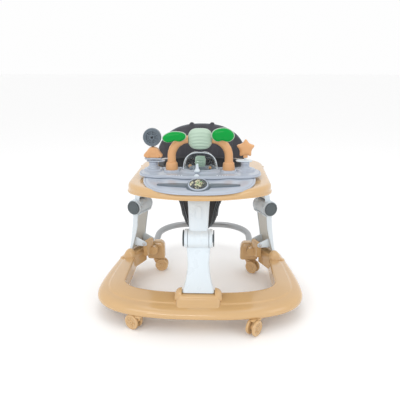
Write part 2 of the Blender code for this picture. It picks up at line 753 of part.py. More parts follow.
def make_left_toy():
    x, y = LEFT_TOY
    low = TIER_TOP_Z + GAP
    post = turned([(19, low), (19, low + 8), (14, low + 12), (13, low + 26)], (x, y, 0))
    make("left_post", loft(post), "light_grey")
    plate = oval(x + 8, y, 30, 15, 15, 2.3, 24)
    lever = make("left_lever", prism(plate, low + 26.6, low + 31), "light_grey", None,
                 (x, y, low + 29))
    join(lever, rod(5, low + 30, low + 39.6, (x, y), "z", 12))
    body = [(x - 29, low + 40), (x + 29, low + 40), (x + 28, low + 51), (x + 12, low + 73),
            (x - 9, low + 74), (x - 27, low + 55)]
    car = make("left_car", prism(body, y - 13, y + 13, "y"), "tan", None, (x, y, low + 29))
    centre = (x - 2, y, low + 104)
    rings = turned([(20, -7), (22, -9), (28.5, -8), (28.5, 8), (22, 9), (20, 7)], centre, "y",
                   20)
    wheel = make("left_toy_wheel", loft(rings), "dark_grey", None, centre)
    cut(wheel, rod(3.3, -30, 30, (0, 0), "y", 14), frame_at(*centre))
    join(car, rod(3, y - 12.3, y + 12.3, (centre[0], centre[2]), "y", 12))
    for side in (-1, 1):
        ends = sorted((y + side * 9.6, y + side * 12.5))
        join(car, box((centre[0] - 3.5, centre[0] + 3.5), ends, (low + 60, centre[2] + 3.5)))


def star_outline(cx, cz, radius, inner):
    outline = []
    for i in range(10):
        angle = math.radians(90 + 36 * i)
        r = radius if i % 2 == 0 else inner
        outline.append((cx + r * math.cos(angle), cz + r * math.sin(angle)))
    return outline


def make_right_toy():
    x, y = RIGHT_TOY
    low = TIER_TOP_Z + GAP
    post = turned([(20, low), (20, low + 6), (13, low + 10), (12, low + 26)], (x, y, 0))
    make("right_post", loft(post), "light_grey")
    arm = make("right_arm", prism(oval(x - 4, y, 26, 12, 12, 2.3, 24), low + 26.6, low + 32),
               "white", None, (x, y, low + 29))
    join(arm, rod(4, low + 31, low + 39, (x, y), "z", 12))
    cz = low + 69
    outline = star_outline(x, cz, 31, 18)
    rings = [[(x + (a - x) * k, y + off, cz + (b - cz) * k) for a, b in outline]
             for off, k in ((-11, 0.7), (-7, 1.0), (7, 1.0), (11, 0.7))]
    star = make("right_star", loft(rings), "tan", None, (x, y, low + 45))
    cut(star, box((x - 8, x + 8), (y - 20, y + 20), (low + 30, low + 39.5)))


# ---- seat ----

def seat_top(x):
    share = (abs(x) / (SEAT_HALF_X + 2)) ** SEAT_POWER
    return SEAT_BOTTOM_Z + 3 + SEAT_RISE * max(0.0, 1 - share) ** (1 / 2.2)


def make_seat_back():
    rings = []
    for i in range(17):
        x = SEAT_HALF_X * (i / 8 - 1)
        front = SEAT_FRONT_Y - SEAT_CURVE * (x / SEAT_HALF_X) ** 2
        top = seat_top(x)
        middle = blend(SEAT_BOTTOM_Z, top, 0.5)
        edge = min(10.0, (top - SEAT_BOTTOM_Z) / 4)
        rings.append([(x, front, SEAT_BOTTOM_Z), (x, front - 4, middle),
                      (x, front + 2, top - edge), (x, front + 10, top),
                      (x, front + 18, top - edge), (x, front + 22, middle),
                      (x, front + 18, SEAT_BOTTOM_Z)])
    make("seat_back", loft(rings), "fabric")


def make_seat_sling():
    def ring(row, shrink):
        z, half_x, half_y = row
        return [(x, y, z) for x, y in oval(0, HOLE_Y - 4, half_x - shrink, half_y - shrink,
                                           half_y - shrink, 2.2, 20)]
    outer = [ring(r, 0) for r in SLING_LEVELS]
    inner = [ring(r, SLING_WALL) for r in SLING_LEVELS[:-1]]
    inner.append([(x, y, z + SLING_WALL) for x, y, z in ring(SLING_LEVELS[-1], SLING_WALL + 2)])
    points, faces = loft(outer[::-1] + inner)
    sling = make("seat_sling", (points, faces), "fabric")
    hole = oval(0, LEG_HOLE_Z, 30, 45, 45, 2.2, 12)
    for low, high in ((-120, -25), (25, 120)):
        cut(sling, prism(hole, low, high, "x"))


clear_scene()
MATERIALS = {key: make_material(key) for key in COLOURS}
make_base()
make_rear_frame()
make_casters()
make_legs()
make_tray_shell()
make_music_tray()
make_badge()
make_arch()
make_leaves()
make_dome()
make_joystick()
make_left_toy()
make_right_toy()
make_seat_back()
make_seat_sling()
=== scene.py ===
import json
from math import atan2, copysign, cos, exp, pi, radians, sin

import bmesh
import bpy
from mathutils import Matrix, Vector, noise


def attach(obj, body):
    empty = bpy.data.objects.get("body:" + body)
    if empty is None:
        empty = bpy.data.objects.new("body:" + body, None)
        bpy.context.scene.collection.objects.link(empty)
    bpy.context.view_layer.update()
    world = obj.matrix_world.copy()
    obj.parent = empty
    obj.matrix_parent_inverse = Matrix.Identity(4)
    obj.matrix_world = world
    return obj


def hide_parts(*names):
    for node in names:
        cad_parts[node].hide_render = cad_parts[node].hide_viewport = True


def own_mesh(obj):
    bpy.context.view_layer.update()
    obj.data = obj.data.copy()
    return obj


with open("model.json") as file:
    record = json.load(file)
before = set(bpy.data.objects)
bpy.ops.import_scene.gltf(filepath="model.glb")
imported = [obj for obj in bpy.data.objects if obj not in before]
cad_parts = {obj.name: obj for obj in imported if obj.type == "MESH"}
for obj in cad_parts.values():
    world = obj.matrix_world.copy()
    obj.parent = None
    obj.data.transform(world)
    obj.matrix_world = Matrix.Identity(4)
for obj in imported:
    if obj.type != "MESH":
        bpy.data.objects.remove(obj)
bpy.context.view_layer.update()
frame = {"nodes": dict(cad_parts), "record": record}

MM = 0.001
FOOT_Z = 138.0
KNEE = (0.0, -30.0, 140.0)
ARM_TOP = (0.0, 0.0, 280.0)
LEGS = {"front": ((0.0, -236.0), 0.0), "left": ((-203.7, 57.4), -114.8),
        "right": ((203.7, 57.4), 114.8)}
DECK_Z = 436.0
ARCH_Y = -129.0
DOME_Y = -112.0
TUBE_X = 186.0
CLOTH_FRAMES = 20
HOLE_Y, HOLE_HALF_X, HOLE_HALF_Y = 50, 140, 112
BADGE_Y, BADGE_Z, BADGE_SLOPE = -285, 448.7, 0.488
WHEEL_CENTRE = (20, 0, 24.5)
LEG_HOLE_Y, LEG_HOLE_Z = 44, 300
CASTERS = {"front_left": (-180.0, -322.0, 150), "front_right": (180.0, -322.0, 233),
           "rear_left": (-180.0, 106.0, 0), "rear_right": (180.0, 106.0, -37)}


# ---- shapes, in millimetres ----

def mix(a, b, share):
    return a + (b - a) * share


def step(share):
    share = min(max(share, 0.0), 1.0)
    return share * share * (3 - 2 * share)


def bent(value, power):
    """A power of a number's size, with the number's sign."""
    return copysign(abs(value) ** power, value)


def arc(cx, cy, radius, angles):
    """Points round a centre, at angles in degrees."""
    return [(cx + radius * cos(radians(a)), cy + radius * sin(radians(a))) for a in angles]


def circle(radius, sides, start=0.0):
    turn = 2 * pi / sides
    return [(radius * cos(start + i * turn), radius * sin(start + i * turn))
            for i in range(sides)]


def oval(cx, cy, half_x, front, back, power, count=96):
    points = []
    for i in range(count):
        angle = 2 * pi * i / count
        c, s = cos(angle), sin(angle)
        half_y = back if s > 0 else front
        points.append((cx + half_x * bent(c, 2 / power), cy + half_y * bent(s, 2 / power)))
    return points


def inset(outline, distance):
    moved = []
    for i, (x, y) in enumerate(outline):
        before, after = outline[i - 1], outline[(i + 1) % len(outline)]
        run = Vector((after[0] - before[0], after[1] - before[1])).normalized()
        moved.append((x - run.y * distance, y + run.x * distance))
    return moved


def soften(points, rounds=2, closed=False):
    """Cuts the corners of a path, so that it bends smoothly."""
    for _ in range(rounds):
        last = len(points) if closed else len(points) - 1
        cut = []
        for i in range(last):
            a, b = Vector(points[i]), Vector(points[(i + 1) % len(points)])
            cut += [tuple(a.lerp(b, 0.25)), tuple(a.lerp(b, 0.75))]
        points = cut if closed else [points[0]] + cut[1:-1] + [points[-1]]
    return points


def refine(rows, steps=5):
    """A smooth curve through rows of numbers."""
    out = []
    for i in range(len(rows) - 1):
        near = [rows[max(i - 1, 0)], rows[i], rows[i + 1], rows[min(i + 2, len(rows) - 1)]]
        for k in range(steps):
            t = k / steps
            weights = (-t / 2 + t * t - t ** 3 / 2, 1 - 2.5 * t * t + 1.5 * t ** 3,
                       t / 2 + 2 * t * t - 1.5 * t ** 3, (t ** 3 - t * t) / 2)
            out.append(tuple(sum(w * row[j] for w, row in zip(weights, near))
                             for j in range(len(rows[0]))))
    return out + [tuple(rows[-1])]


def loft(rings, loop=False):
    size = len(rings[0])
    points = [p for ring in rings for p in ring]
    faces = []
    for i in range(len(rings) if loop else len(rings) - 1):
        a, b = i * size, (i + 1) % len(rings) * size
        for k in range(size):
            n = (k + 1) % size
            faces.append((a + k, a + n, b + n, b + k))
    if not loop:
        faces += [tuple(range(size)), tuple(range(len(points) - size, len(points)))]
    return points, faces


def upright(a, b, h, axis):
    return {"x": (h, a, b), "y": (a, h, b), "z": (a, b, h)}[axis]


def prism(outline, low, high, axis="z", edge=0.0):
    """An extruded outline whose ends are rounded over by `edge`."""
    if not edge:
        return loft([[upright(a, b, h, axis) for a, b in outline] for h in (low, high)])
    levels = []
    for i in range(5):
        angle = radians(22.5 * i)
        levels.append((low + edge * (1 - sin(angle)), edge * (1 - cos(angle))))
    levels = levels[::-1] + [(low + high - h, d) for h, d in levels]
    return loft([[upright(a, b, h, axis) for a, b in inset(outline, d)] for h, d in levels])


def rounded(x, y, radius, steps=6):
    """A rectangle with round corners, from its (low, high) pairs."""
    outline = []
    for cx, cy, start in ((x[1], y[1], 0), (x[0], y[1], 90), (x[0], y[0], 180), (x[1], y[0], 270)):
        mx = cx - copysign(radius, cx - (x[0] + x[1]) / 2)
        my = cy - copysign(radius, cy - (y[0] + y[1]) / 2)
        outline += arc(mx, my, radius, [start + 90 * i / steps for i in range(steps + 1)])
    return outline


def block(x, y, z, radius=1.0, edge=0.6):
    return prism(rounded(x, y, radius, 3), z[0], z[1], "z", edge)


def lathe(profile, centre=(0, 0, 0), axis="z", sides=48, rounds=2, loop=False):
    """Turns a softened (radius, height) profile about an axis."""
    profile = soften(profile, rounds, loop) if rounds else profile
    rings = []
    for radius, height in profile:
        rings.append([tuple(c + d for c, d in zip(centre, upright(a, b, height, axis)))
                      for a, b in circle(max(radius, 0.01), sides)])
    return loft(rings, loop)


def pipe(path, radius, across=(0, 0, 1), sides=24, bore=0.0, loop=False):
    """A round bar along a path. `radius` is a number or one per point."""
    across = Vector(across).normalized()
    radii = radius if isinstance(radius, list) else [radius] * len(path)

    def rings(shrink):
        made = []
        for i, p in enumerate(path):
            after = path[(i + 1) % len(path)] if loop else path[min(i + 1, len(path) - 1)]
            before = path[i - 1] if loop else path[max(i - 1, 0)]
            ahead = (Vector(after) - Vector(before)).normalized()
            side = across.cross(ahead).normalized()
            up = ahead.cross(side)
            made.append([Vector(p) + side * a + up * b for a, b in circle(radii[i] - shrink, sides)])
        return made

    if bore:
        return loft(rings(0.0) + rings(bore)[::-1], loop=True)
    return loft(rings(0.0), loop)


def spokes(bar, centre, start):
    """Six copies of a bar along x, turned about the y axis through a centre."""
    cx, cy, cz = centre
    points, faces = bar
    made = []
    for k in range(6):
        turn = Matrix.Rotation(radians(60 * k + start), 4, "Z")
        turned = [turn @ Vector(p) for p in points]
        made.append(([(cx + p.x, cy + p.z, cz + p.y) for p in turned], faces))
    return made


def stepped(outline, levels):
    """A solid from (height, distance) pairs: at each height the outline is set in by that much."""
    return loft([[(x, y, z) for x, y in inset(outline, d)] for z, d in levels])


def joined(*shapes):
    points, faces = [], []
    for some_points, some_faces in shapes:
        shift = len(points)
        points += list(some_points)
        faces += [tuple(i + shift for i in face) for face in some_faces]
    return points, faces


def leg_frame(name):
    (x, y), turn = LEGS[name]
    return frame_at(x, y, FOOT_Z, radians(turn))


def frame_at(x, y, z, turn):
    return Matrix.Translation(Vector((x, y, z)) * MM) @ Matrix.Rotation(turn, 4, "Z")


def add_object(name, data):
    obj = bpy.data.objects.new(name, data)
    bpy.context.scene.collection.objects.link(obj)
    return obj


def piece(name, shape, material, body, nodes=(), place=None, bevel=0.0, angle=38):
    """Makes one visible piece that rides on a CAD body.

    It stands for the CAD nodes given, or else for the one that has the piece's own name.
    """
    points, faces = shape
    mesh = bpy.data.meshes.new(name)
    mesh.from_pydata([Vector(p) * MM for p in points], [], faces)
    mesh.transform(place or Matrix())
    work = bmesh.new()
    work.from_mesh(mesh)
    bmesh.ops.recalc_face_normals(work, faces=work.faces)
    work.to_mesh(mesh)
    work.free()
    mesh.shade_smooth()
    mesh.set_sharp_from_angle(angle=radians(angle))
    obj = add_object(name, mesh)
    mesh.materials.append(material)
    if bevel:
        rounding = obj.modifiers.new("Edges", "BEVEL")
        rounding.width = bevel * MM
        rounding.segments = 3
        rounding.angle_limit = radians(40)
        rounding.harden_normals = True
    if body:
        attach(obj, body)
    if not nodes and name in frame["nodes"]:
        nodes = [name]
    if nodes:
        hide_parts(*nodes)
    return obj


# ---- materials ----

def new_material(name, slot):
    material = bpy.data.materials.new(name)
    material.use_nodes = True
    material["slot"] = slot
    tree = material.node_tree
    return material, tree, tree.nodes["Principled BSDF"]


def set_inputs(tree, node, values):
    """Gives inputs their values: numbers, colours or other nodes' outputs."""
    for key, value in values.items():
        if isinstance(value, bpy.types.NodeSocket):
            tree.links.new(value, node.inputs[key])
        else:
            node.inputs[key].default_value = value


def add_node(tree, kind, values):
    node = tree.nodes.new("ShaderNode" + kind)
    set_inputs(tree, node, values)
    return node


def place_in(tree):
    return add_node(tree, "TexCoord", {}).outputs["Object"]


def noise_of(tree, scale, detail, stretch=(1, 1, 1)):
    mapping = add_node(tree, "Mapping", {"Vector": place_in(tree), "Scale": stretch})
    values = {"Vector": mapping.outputs["Vector"], "Scale": scale, "Detail": detail}
    return add_node(tree, "TexNoise", values).outputs["Fac"]


def ramp_of(tree, source, low, high, low_value, high_value):
    values = {"Value": source, "From Min": low, "From Max": high, "To Min": low_value,
              "To Max": high_value}
    return add_node(tree, "MapRange", values).outputs["Result"]


def sum_of(tree, a, b):
    return add_node(tree, "Math", {0: a, 1: b}).outputs[0]


def colour_mix(tree, factor, a, b):
    """Mixes two colours or links by a factor link."""
    node = add_node(tree, "Mix", {})
    node.data_type = "RGBA"
    a, b = (v + (1,) if isinstance(v, tuple) else v for v in (a, b))
    set_inputs(tree, node, {0: factor, 6: a, 7: b})
    return node.outputs[2]


def bump_of(tree, source, strength, distance, under=None):
    values = {"Height": source, "Strength": strength, "Distance": distance}
    if under:
        values["Normal"] = under
    return add_node(tree, "Bump", values).outputs["Normal"]


def tinted(colour, factor):
    return tuple(min(c * factor, 1.0) for c in colour)


def plastic(name, slot, colour, rough, grain=0.05, scuff=0.03, coat=0.0, metallic=0.0):
    """Moulded plastic or paint: cloudy tone, fine grain, faint scuffs and rubbed edges."""
    material, tree, shader = new_material(name, slot)
    cloudy = ramp_of(tree, noise_of(tree, 14, 4), 0.3, 0.7, 0.0, 1.0)
    tone = colour_mix(tree, cloudy, tinted(colour, 0.985), tinted(colour, 1.012))
    scuffs = ramp_of(tree, noise_of(tree, 55, 6, (1, 1, 5)), 0.62, 0.74, 0.0, scuff)
    tone = colour_mix(tree, scuffs, tone, tinted(colour, 1.1))
    pointed = add_node(tree, "NewGeometry", {}).outputs["Pointiness"]
    edges = ramp_of(tree, pointed, 0.53, 0.6, 0.0, 0.3)
    tone = colour_mix(tree, edges, tone, tinted(colour, 1.12))
    rub = ramp_of(tree, noise_of(tree, 32, 5), 0.3, 0.75, rough * 0.92, rough * 1.12)
    fine = bump_of(tree, noise_of(tree, 900, 2), grain, 0.0002)
    wavy = bump_of(tree, noise_of(tree, 22, 2), 0.015, 0.0012, fine)
    set_inputs(tree, shader, {"Base Color": tone, "Roughness": rub, "Normal": wavy,
                              "Metallic": metallic, "Coat Weight": coat, "Coat Roughness": 0.06})
    return material


def clear(name, tint):
    material, tree, shader = new_material(name, "clear_plastic")
    rub = ramp_of(tree, noise_of(tree, 60, 5), 0.4, 0.8, 0.04, 0.12)
    set_inputs(tree, shader, {"Base Color": tint + (1,), "Transmission Weight": 1.0, "IOR": 1.2,
                              "Roughness": rub})
    return material


def wave_of(tree, axis, scale):
    node = add_node(tree, "TexWave", {"Vector": place_in(tree), "Scale": scale,
                                      "Distortion": 0.4, "Detail": 1.0})
    node.bands_direction = axis
    return node.outputs["Fac"]


def fabric(name, colour, scale=110.0, sheen=0.25):
    """Woven cloth: two crossing sets of threads, slubs and a faint nap."""
    material, tree, shader = new_material(name, "seat_fabric")
    threads = sum_of(tree, wave_of(tree, "X", scale), wave_of(tree, "Z", scale))
    weave = ramp_of(tree, threads, 0.0, 2.0, 0.0, 1.0)
    tone = colour_mix(tree, weave, tinted(colour, 0.55), tinted(colour, 1.35))
    slub = ramp_of(tree, noise_of(tree, 40, 5, (1, 1, 0.3)), 0.35, 0.75, 0.0, 0.5)
    tone = colour_mix(tree, slub, tone, tinted(colour, 1.7))
    coarse = bump_of(tree, noise_of(tree, 70, 4), 0.25, 0.002)
    set_inputs(tree, shader, {"Base Color": tone, "Roughness": 0.85, "Sheen Weight": sheen,
                              "Sheen Roughness": 0.5,
                              "Normal": bump_of(tree, weave, 0.6, 0.0006, coarse)})
    return material


def picture():
    """The badge's plain picture: soft blots of cream, green and brown on black."""
    material, tree, shader = new_material("badge picture", "dark_grey_plastic")
    away = add_node(tree, "VectorMath", {0: place_in(tree), 1: (0.0, -0.285, 0.4508)})
    away.operation = "DISTANCE"
    near = ramp_of(tree, away.outputs["Value"], 0.006, 0.02, 0.14, -0.12)
    tone = (0.008, 0.009, 0.009)
    for scale, edge, colour in ((105, 0.5, (0.72, 0.62, 0.40)), (150, 0.62, (0.22, 0.42, 0.14)),
                                (190, 0.62, (0.25, 0.12, 0.06))):
        blots = sum_of(tree, noise_of(tree, scale, 1), near)
        tone = colour_mix(tree, ramp_of(tree, blots, edge, edge + 0.04, 0, 1), tone, colour)
    set_inputs(tree, shader, {"Base Color": tone, "Roughness": 0.3})
    return material


TAN = plastic("tan plastic", "tan_plastic", (0.60, 0.385, 0.18), 0.17, coat=0.5)
TOY_TAN = plastic("toy tan plastic", "tan_plastic", (0.68, 0.365, 0.165), 0.34)
WHITE = plastic("white plastic", "white_plastic", (0.67, 0.74, 0.79), 0.28)
# Painted shade: a greyer, beige copy of the white plastic for the legs' inner plates, which are the
# same white plastic in shade.
SHADE_PAINTED_WHITE = plastic("leg channel white painted shade", "white_plastic", (0.60, 0.60, 0.56), 0.45, grain=0.25)
DARK = plastic("dark grey plastic", "dark_grey_plastic", (0.085, 0.105, 0.115), 0.38, grain=0.3)
PANEL = plastic("panel plastic", "light_grey_plastic", (0.40, 0.445, 0.52), 0.24, coat=0.3)
SLATE = plastic("slate plastic", "light_grey_plastic", (0.115, 0.145, 0.175), 0.35)
GREEN = plastic("green plastic", "green_plastic", (0.001, 0.30, 0.045), 0.14, coat=0.08)
GREEN.node_tree.nodes["Principled BSDF"].inputs["Specular IOR Level"].default_value = 0.15
MINT = plastic("mint plastic", "mint_plastic", (0.42, 0.55, 0.44), 0.35)
STEEL = plastic("rear tube paint", "tube_steel", (0.36, 0.37, 0.38), 0.33, grain=0.3, metallic=0.75)
ZINC = plastic("zinc", "pin_steel", (0.55, 0.55, 0.56), 0.3, metallic=1.0)
CLEAR = clear("clear plastic", (0.93, 0.97, 0.97))
FABRIC = fabric("charcoal cloth", (0.075, 0.075, 0.088))
LINING = fabric("black cloth", (0.018, 0.019, 0.022), 140.0, 0.15)
PIPING = fabric("grey piping", (0.12, 0.14, 0.16), 160.0)


# ---- base ----

BASE_TOP = [(0.0, 42), (0.0, 60), (0.0, 84), (0.012, 90.5), (0.05, 92), (0.12, 91.4),
            (0.35, 88.4), (0.56, 84.6), (0.585, 83.4), (0.6, 81.6), (0.64, 80.4), (0.74, 79),
            (0.84, 76.2), (0.93, 71), (0.985, 64), (1.0, 57), (0.985, 52), (0.95, 48.5),
            (0.9, 47)]
BASE_UNDER = [(0.88, 50), (0.93, 55), (0.93, 62), (0.86, 71), (0.6, 79), (0.2, 86), (0.05, 86.5),
              (0.035, 80), (0.035, 42)]


def corner(half_width, front_y, angle):
    return (half_width * cos(angle) ** (2 / 2.7),
            -150 + (front_y + 150) * sin(angle) ** (2 / 2.7))


def base_stations():
    right = []
    for i in range(26):
        y = mix(104, -150, i / 26)
        taper = 30 * ((y + 150) / 254) ** 1.5
        right.append(((248, y), (338 - taper, y)))
    for i in range(61):
        angle = radians(90 * (i / 60) ** 1.15)
        right.append((corner(248, -250, angle), corner(338, -350, angle)))
    return right + [((-a[0], a[1]), (-b[0], b[1])) for a, b in right[-2::-1]]


def make_base():
    section = soften(BASE_TOP, 2) + soften(BASE_UNDER, 1)
    rings = [[(mix(a[0], b[0], u), mix(a[1], b[1], u), z) for u, z in section]
             for a, b in base_stations()]
    ends = []
    for side in (-1, 1):
        outline = [(side * mix(248, 308, u), z) for u, z in soften(BASE_TOP, 2)][::-side]
        ends.append(prism(outline, 100.4, 106.0, "y", 2.6))
    piece("base_shell", joined(loft(rings), *ends), TAN, "base", bevel=1.0)
    for side in (-1, 1):
        for k, y in enumerate(range(-140, 90, 42)):
            reach = 302 - 18 * ((y + 150) / 254) ** 1.5
            piece(f"base_rib_{k}{'lr'[side > 0]}",
                  block(sorted((side * 252, side * reach)), (y, y + 2.4), (50, 76), 0.8), TAN,
                  "base")
    for name, sides in (("front", (-1, 1)), ("left", (1,)), ("right", (-1,))):
        make_socket(name, sides)


def make_socket(name, sides):
    """The rounded seat of a leg's foot, its ears, its hinge tongue and its pin."""
    place = leg_frame(name)
    low, high = (-66 if -1 in sides else -27), (66 if 1 in sides else 27)
    rings = []
    flare = [(-88, 2), (-84, 0), (-58, 0), (-50, -1.5), (-44, 0), (-38, 1.5), (-34.5, 4),
             (-32.4, 8), (-31.8, 14)]
    for z, d in refine(flare, 3):
        front = -70 - 24 * min(max((-40 - z) / 20, 0.0), 1.0) ** 2
        ring = rounded((low + d, high - d), (front + d, -22 - d * 0.4), 13 - min(d, 9) * 0.4, 6)
        rings.append([(x, y, z) for x, y in ring])
    shapes = [loft(rings)]
    for side in sides:
        outline = soften([(-66, -56), (-21, -56), (-21, -34), (-28, -22), (-43, -16.5),
                          (-58, -22), (-66, -34)], 3, True)
        rings = []
        for reach, low_by, shrink in ((50.5, 2, 3), (51.5, 0.4, 1), (53, 0, 0), (60, 2, 0.5),
                                      (67, 8, 1.5), (71, 15, 3.5), (73, 22, 7)):
            rings.append([(side * reach, -43 + (y + 43) * (1 - shrink / 23),
                           max(z - low_by * (z + 56) / 39.5, -56)) for y, z in outline])
        shapes.append(loft(rings))
    tongue = [(-9, -50), (9, -50)] + arc(0, 0, 9, range(0, 181, 12))
    shapes.append(prism(tongue, -22, 22, "x", 0.8))
    piece(f"foot_socket_{name}", joined(*shapes), TAN, "base", place=place)
    ends = [lathe([(0, h), (6, h), (6.5, h + s * 0.8), (5, h + s * 2), (0, h + s * 2.2)], axis="x",
                  sides=24) for s, h in ((-1, -30.5), (1, 30.5))]
    pin = lathe([(0, -31), (4, -31), (4, 31), (0, 31)], axis="x", sides=24, rounds=0)
    piece(f"foot_pin_{name}", joined(pin, *ends), ZINC, "base", [f"{name}_foot_pin"], place)


def tube_path():
    right = [(TUBE_X, 64), (TUBE_X, 140)] + arc(61, 218, 125, [90 * i / 24 for i in range(25)])
    flat = right + [(-x, y) for x, y in right[::-1]]
    return [(x, y, 98 + (y - 66) * 0.035) for x, y in flat]


def make_rear():
    piece("rear_tube", pipe(tube_path(), 12.5, sides=40, bore=1.5), STEEL, "base")
    for side, name in ((-1, "left"), (1, "right")):
        x = side * 180.0
        levels = [(52, 6), (52.6, 3), (55, 1), (60, 0), (98, 0), (108, 2.5), (115, 7), (119.5, 12),
                  (121, 18)]
        rings = [[(a, b, z) for a, b in rounded((x - 33 + d, x + 33 - d), (91 + d / 2, 133 - d / 2),
                                                8 - d * 0.2)] for z, d in refine(levels, 3)]
        seam = prism(rounded((x - 33.4, x + 33.4), (90.6, 133.4), 8.2), 57.5, 59.5, "z", 0.6)
        ring = lathe([(13, 0), (15.6, 0), (16, 2), (16, 5), (13, 5.5)],
                     (side * TUBE_X, 132, 100.3), "y", loop=True)
        sleeve = lathe([(0, 55), (1, 55), (15.4, 55), (17, 56.6), (17, 84), (15.5, 87), (12.8, 87),
                        (12.8, 62), (1, 62), (0, 62)], (side * TUBE_X, 0, 98.8), "y", rounds=0)
        piece(f"rear_block_{name}", joined(loft(rings), seam, ring), TAN, "base")
        piece(f"tube_sleeve_{name}", sleeve, TAN, "base")


# ---- casters ----

def make_casters():
    wheel_x, _, wheel_z = WHEEL_CENTRE
    for name, (x, y, turn) in CASTERS.items():
        place = frame_at(x, y, 0, radians(turn))
        hub = arc(wheel_x, wheel_z, 11, range(-110, 61, 17))
        fork = soften([(-9, 50), (-9, 33)] + hub + [(17, 44), (9, 50)], 1, True)
        cap = lathe([(0, 42), (11, 42), (12.5, 44), (12.5, 47.5), (10.5, 50), (0, 50.3)])
        hood = arc(wheel_x, wheel_z, 26.3, range(62, 168, 6))
        hood += arc(wheel_x, wheel_z, 24.9, range(162, 61, -6))
        shapes = (prism(fork, -5.6, 5.6, "y", 1.2), cap, prism(hood, -7, 7, "y", 0.4))
        piece(f"caster_plate_{name}", joined(*shapes), TAN, f"caster_{name}", place=place)
        stem = lathe([(0, 34.5), (3.4, 34.5), (4, 36), (4, 62), (3.4, 63), (3.4, 64.5), (4, 65.5),
                      (3.6, 70), (0, 70)], sides=24, rounds=1)
        piece(f"caster_stem_{name}", stem, ZINC, f"caster_{name}", place=place)
        shapes = []
        for side in (-1, 1):
            face = [(0, 13.4), (2.2, 13.4), (2.6, 15.2), (6.2, 15.2), (6.8, 13.2), (8, 12.6),
                    (15.4, 12.9), (17, 15.3), (21.6, 15.6), (23.6, 14.6), (24.4, 12.8), (24.5, 11.4),
                    (23.9, 11.0), (24.5, 10.6), (24.4, 8.6), (23.6, 6.9), (21, 6.5), (3, 6.5),
                    (3, 0), (0, 0)]
            shapes.append(lathe([(r, side * h) for r, h in face], WHEEL_CENTRE, "y", rounds=1))
            bar = block((7, 16.2), (-1.1, 1.1), sorted((side * 11, side * 14.2)), 0.6, 0.3)
            shapes += spokes(bar, WHEEL_CENTRE, 15)
        piece(f"caster_wheels_{name}", joined(*shapes), TAN, f"wheels_{name}", place=place)


# ---- legs ----

LOWER_ROWS = [(-29, 49.5, -56, -43), (-12, 45, -55, -41), (10, 39, -54, -37), (55, 33, -51, -27),
              (100, 35, -44.5, -20), (115, 36, -43.6, -18.5)]
UPPER_ROWS = [(150, 28, -44, -18), (175, 28.5, -38, -13), (215, 30.5, -28, -4),
              (255, 33, -17, 5), (264, 33, -15, 6)]


def channel(row, wall):
    """One level of a leg's U section, with round corners and a wall of that thickness."""
    z, half, outer, edge = row

    def path(shrink):
        radius = max(9.0 - shrink, 3.0)
        wide, face = half - shrink, outer + shrink
        points = [(wide, edge)]
        for side, start in ((1, 270), (-1, 180)):
            points += arc(side * (wide - radius), face + radius, radius,
                          [start + 90 * i / 8 for i in range(8, -1, -1)])
        return points + [(-wide, edge)]

    return [(x, y, z) for x, y in path(0.0) + path(wall)[::-1]]


def liner(rows, low, high, strips):
    """The plate inside a leg's open side, cut lengthwise into strips of its half width."""
    rows = refine(rows, 8)
    made = []
    for left, right in strips:
        rings = []
        for i in range(9):
            z = mix(low, high, i / 8)
            after = next(k for k, row in enumerate(rows) if row[0] >= z)
            a, b = rows[after - 1], rows[after]
            share = (z - a[0]) / (b[0] - a[0])
            wide, edge = mix(a[1], b[1], share) - 3.2, mix(a[3], b[3], share)
            near, far = left * wide, right * wide
            rings.append([(near, edge - 4, z), (far, edge - 4, z), (far, edge - 2.2, z),
                          (far - 1, edge - 1.3, z), (near + 1, edge - 1.3, z),
                          (near, edge - 2.2, z)])
        made.append(loft(rings))
    return joined(*made)


def cheek(side):
    """The round housing at one end of the knee."""
    profile = [(5.4, 31.5), (27, 31.5), (28.4, 33), (28.4, 39), (27.4, 41.4), (25.9, 42),
               (25.7, 40.5), (12.6, 40.5), (12.4, 37), (5.4, 36.5)]
    return lathe([(r, side * h) for r, h in profile], KNEE, "x", 64, 1, True)


def make_lower_leg(name, place):
    shapes = [loft([channel(r, 3.0) for r in refine(LOWER_ROWS, 8)])]
    shapes += [cheek(-1), cheek(1)]
    saddle = []
    for i in range(19):
        angle = radians(252 + 78 * i / 18)
        y, z = cos(angle), sin(angle)
        saddle.append([(x, KNEE[1] + y * r, KNEE[2] + z * r)
                       for x, r in ((-34, 29.8), (34, 29.8), (34, 32.4), (-34, 32.4))])
    shapes.append(loft(saddle))
    for side in (-1, 1):
        ear = soften([(-52, -15), (0, -10), (9, -7), (10, 0), (8, 8), (-52, 26)], 2, True)
        shapes.append(prism(ear, *sorted((side * 24.5, side * 28.5)), "x", 0.8))
        shapes.append(lathe([(0, -62), (2.6, -62), (2.8, -60.9), (0, -60.6)],
                            (side * 28, 17.2, 104), "y", 20))
    piece(f"{name}_lower_leg", joined(*shapes), WHITE, f"{name}_lower", place=place, bevel=0.5)
    # The lower liner's beige-grey is painted shade on white plastic.
    piece(f"{name}_lower_liner", liner(LOWER_ROWS, -20, 108, [(-1, 1)]), SHADE_PAINTED_WHITE, f"{name}_lower",
          place=place)
    pin = lathe([(0, -35.5), (4.4, -35.5), (5, -34), (5, 34), (4.4, 35.5), (0, 35.5)], KNEE, "x",
                32, 1)
    piece(f"{name}_knee_pin", pin, ZINC, f"{name}_lower", place=place)


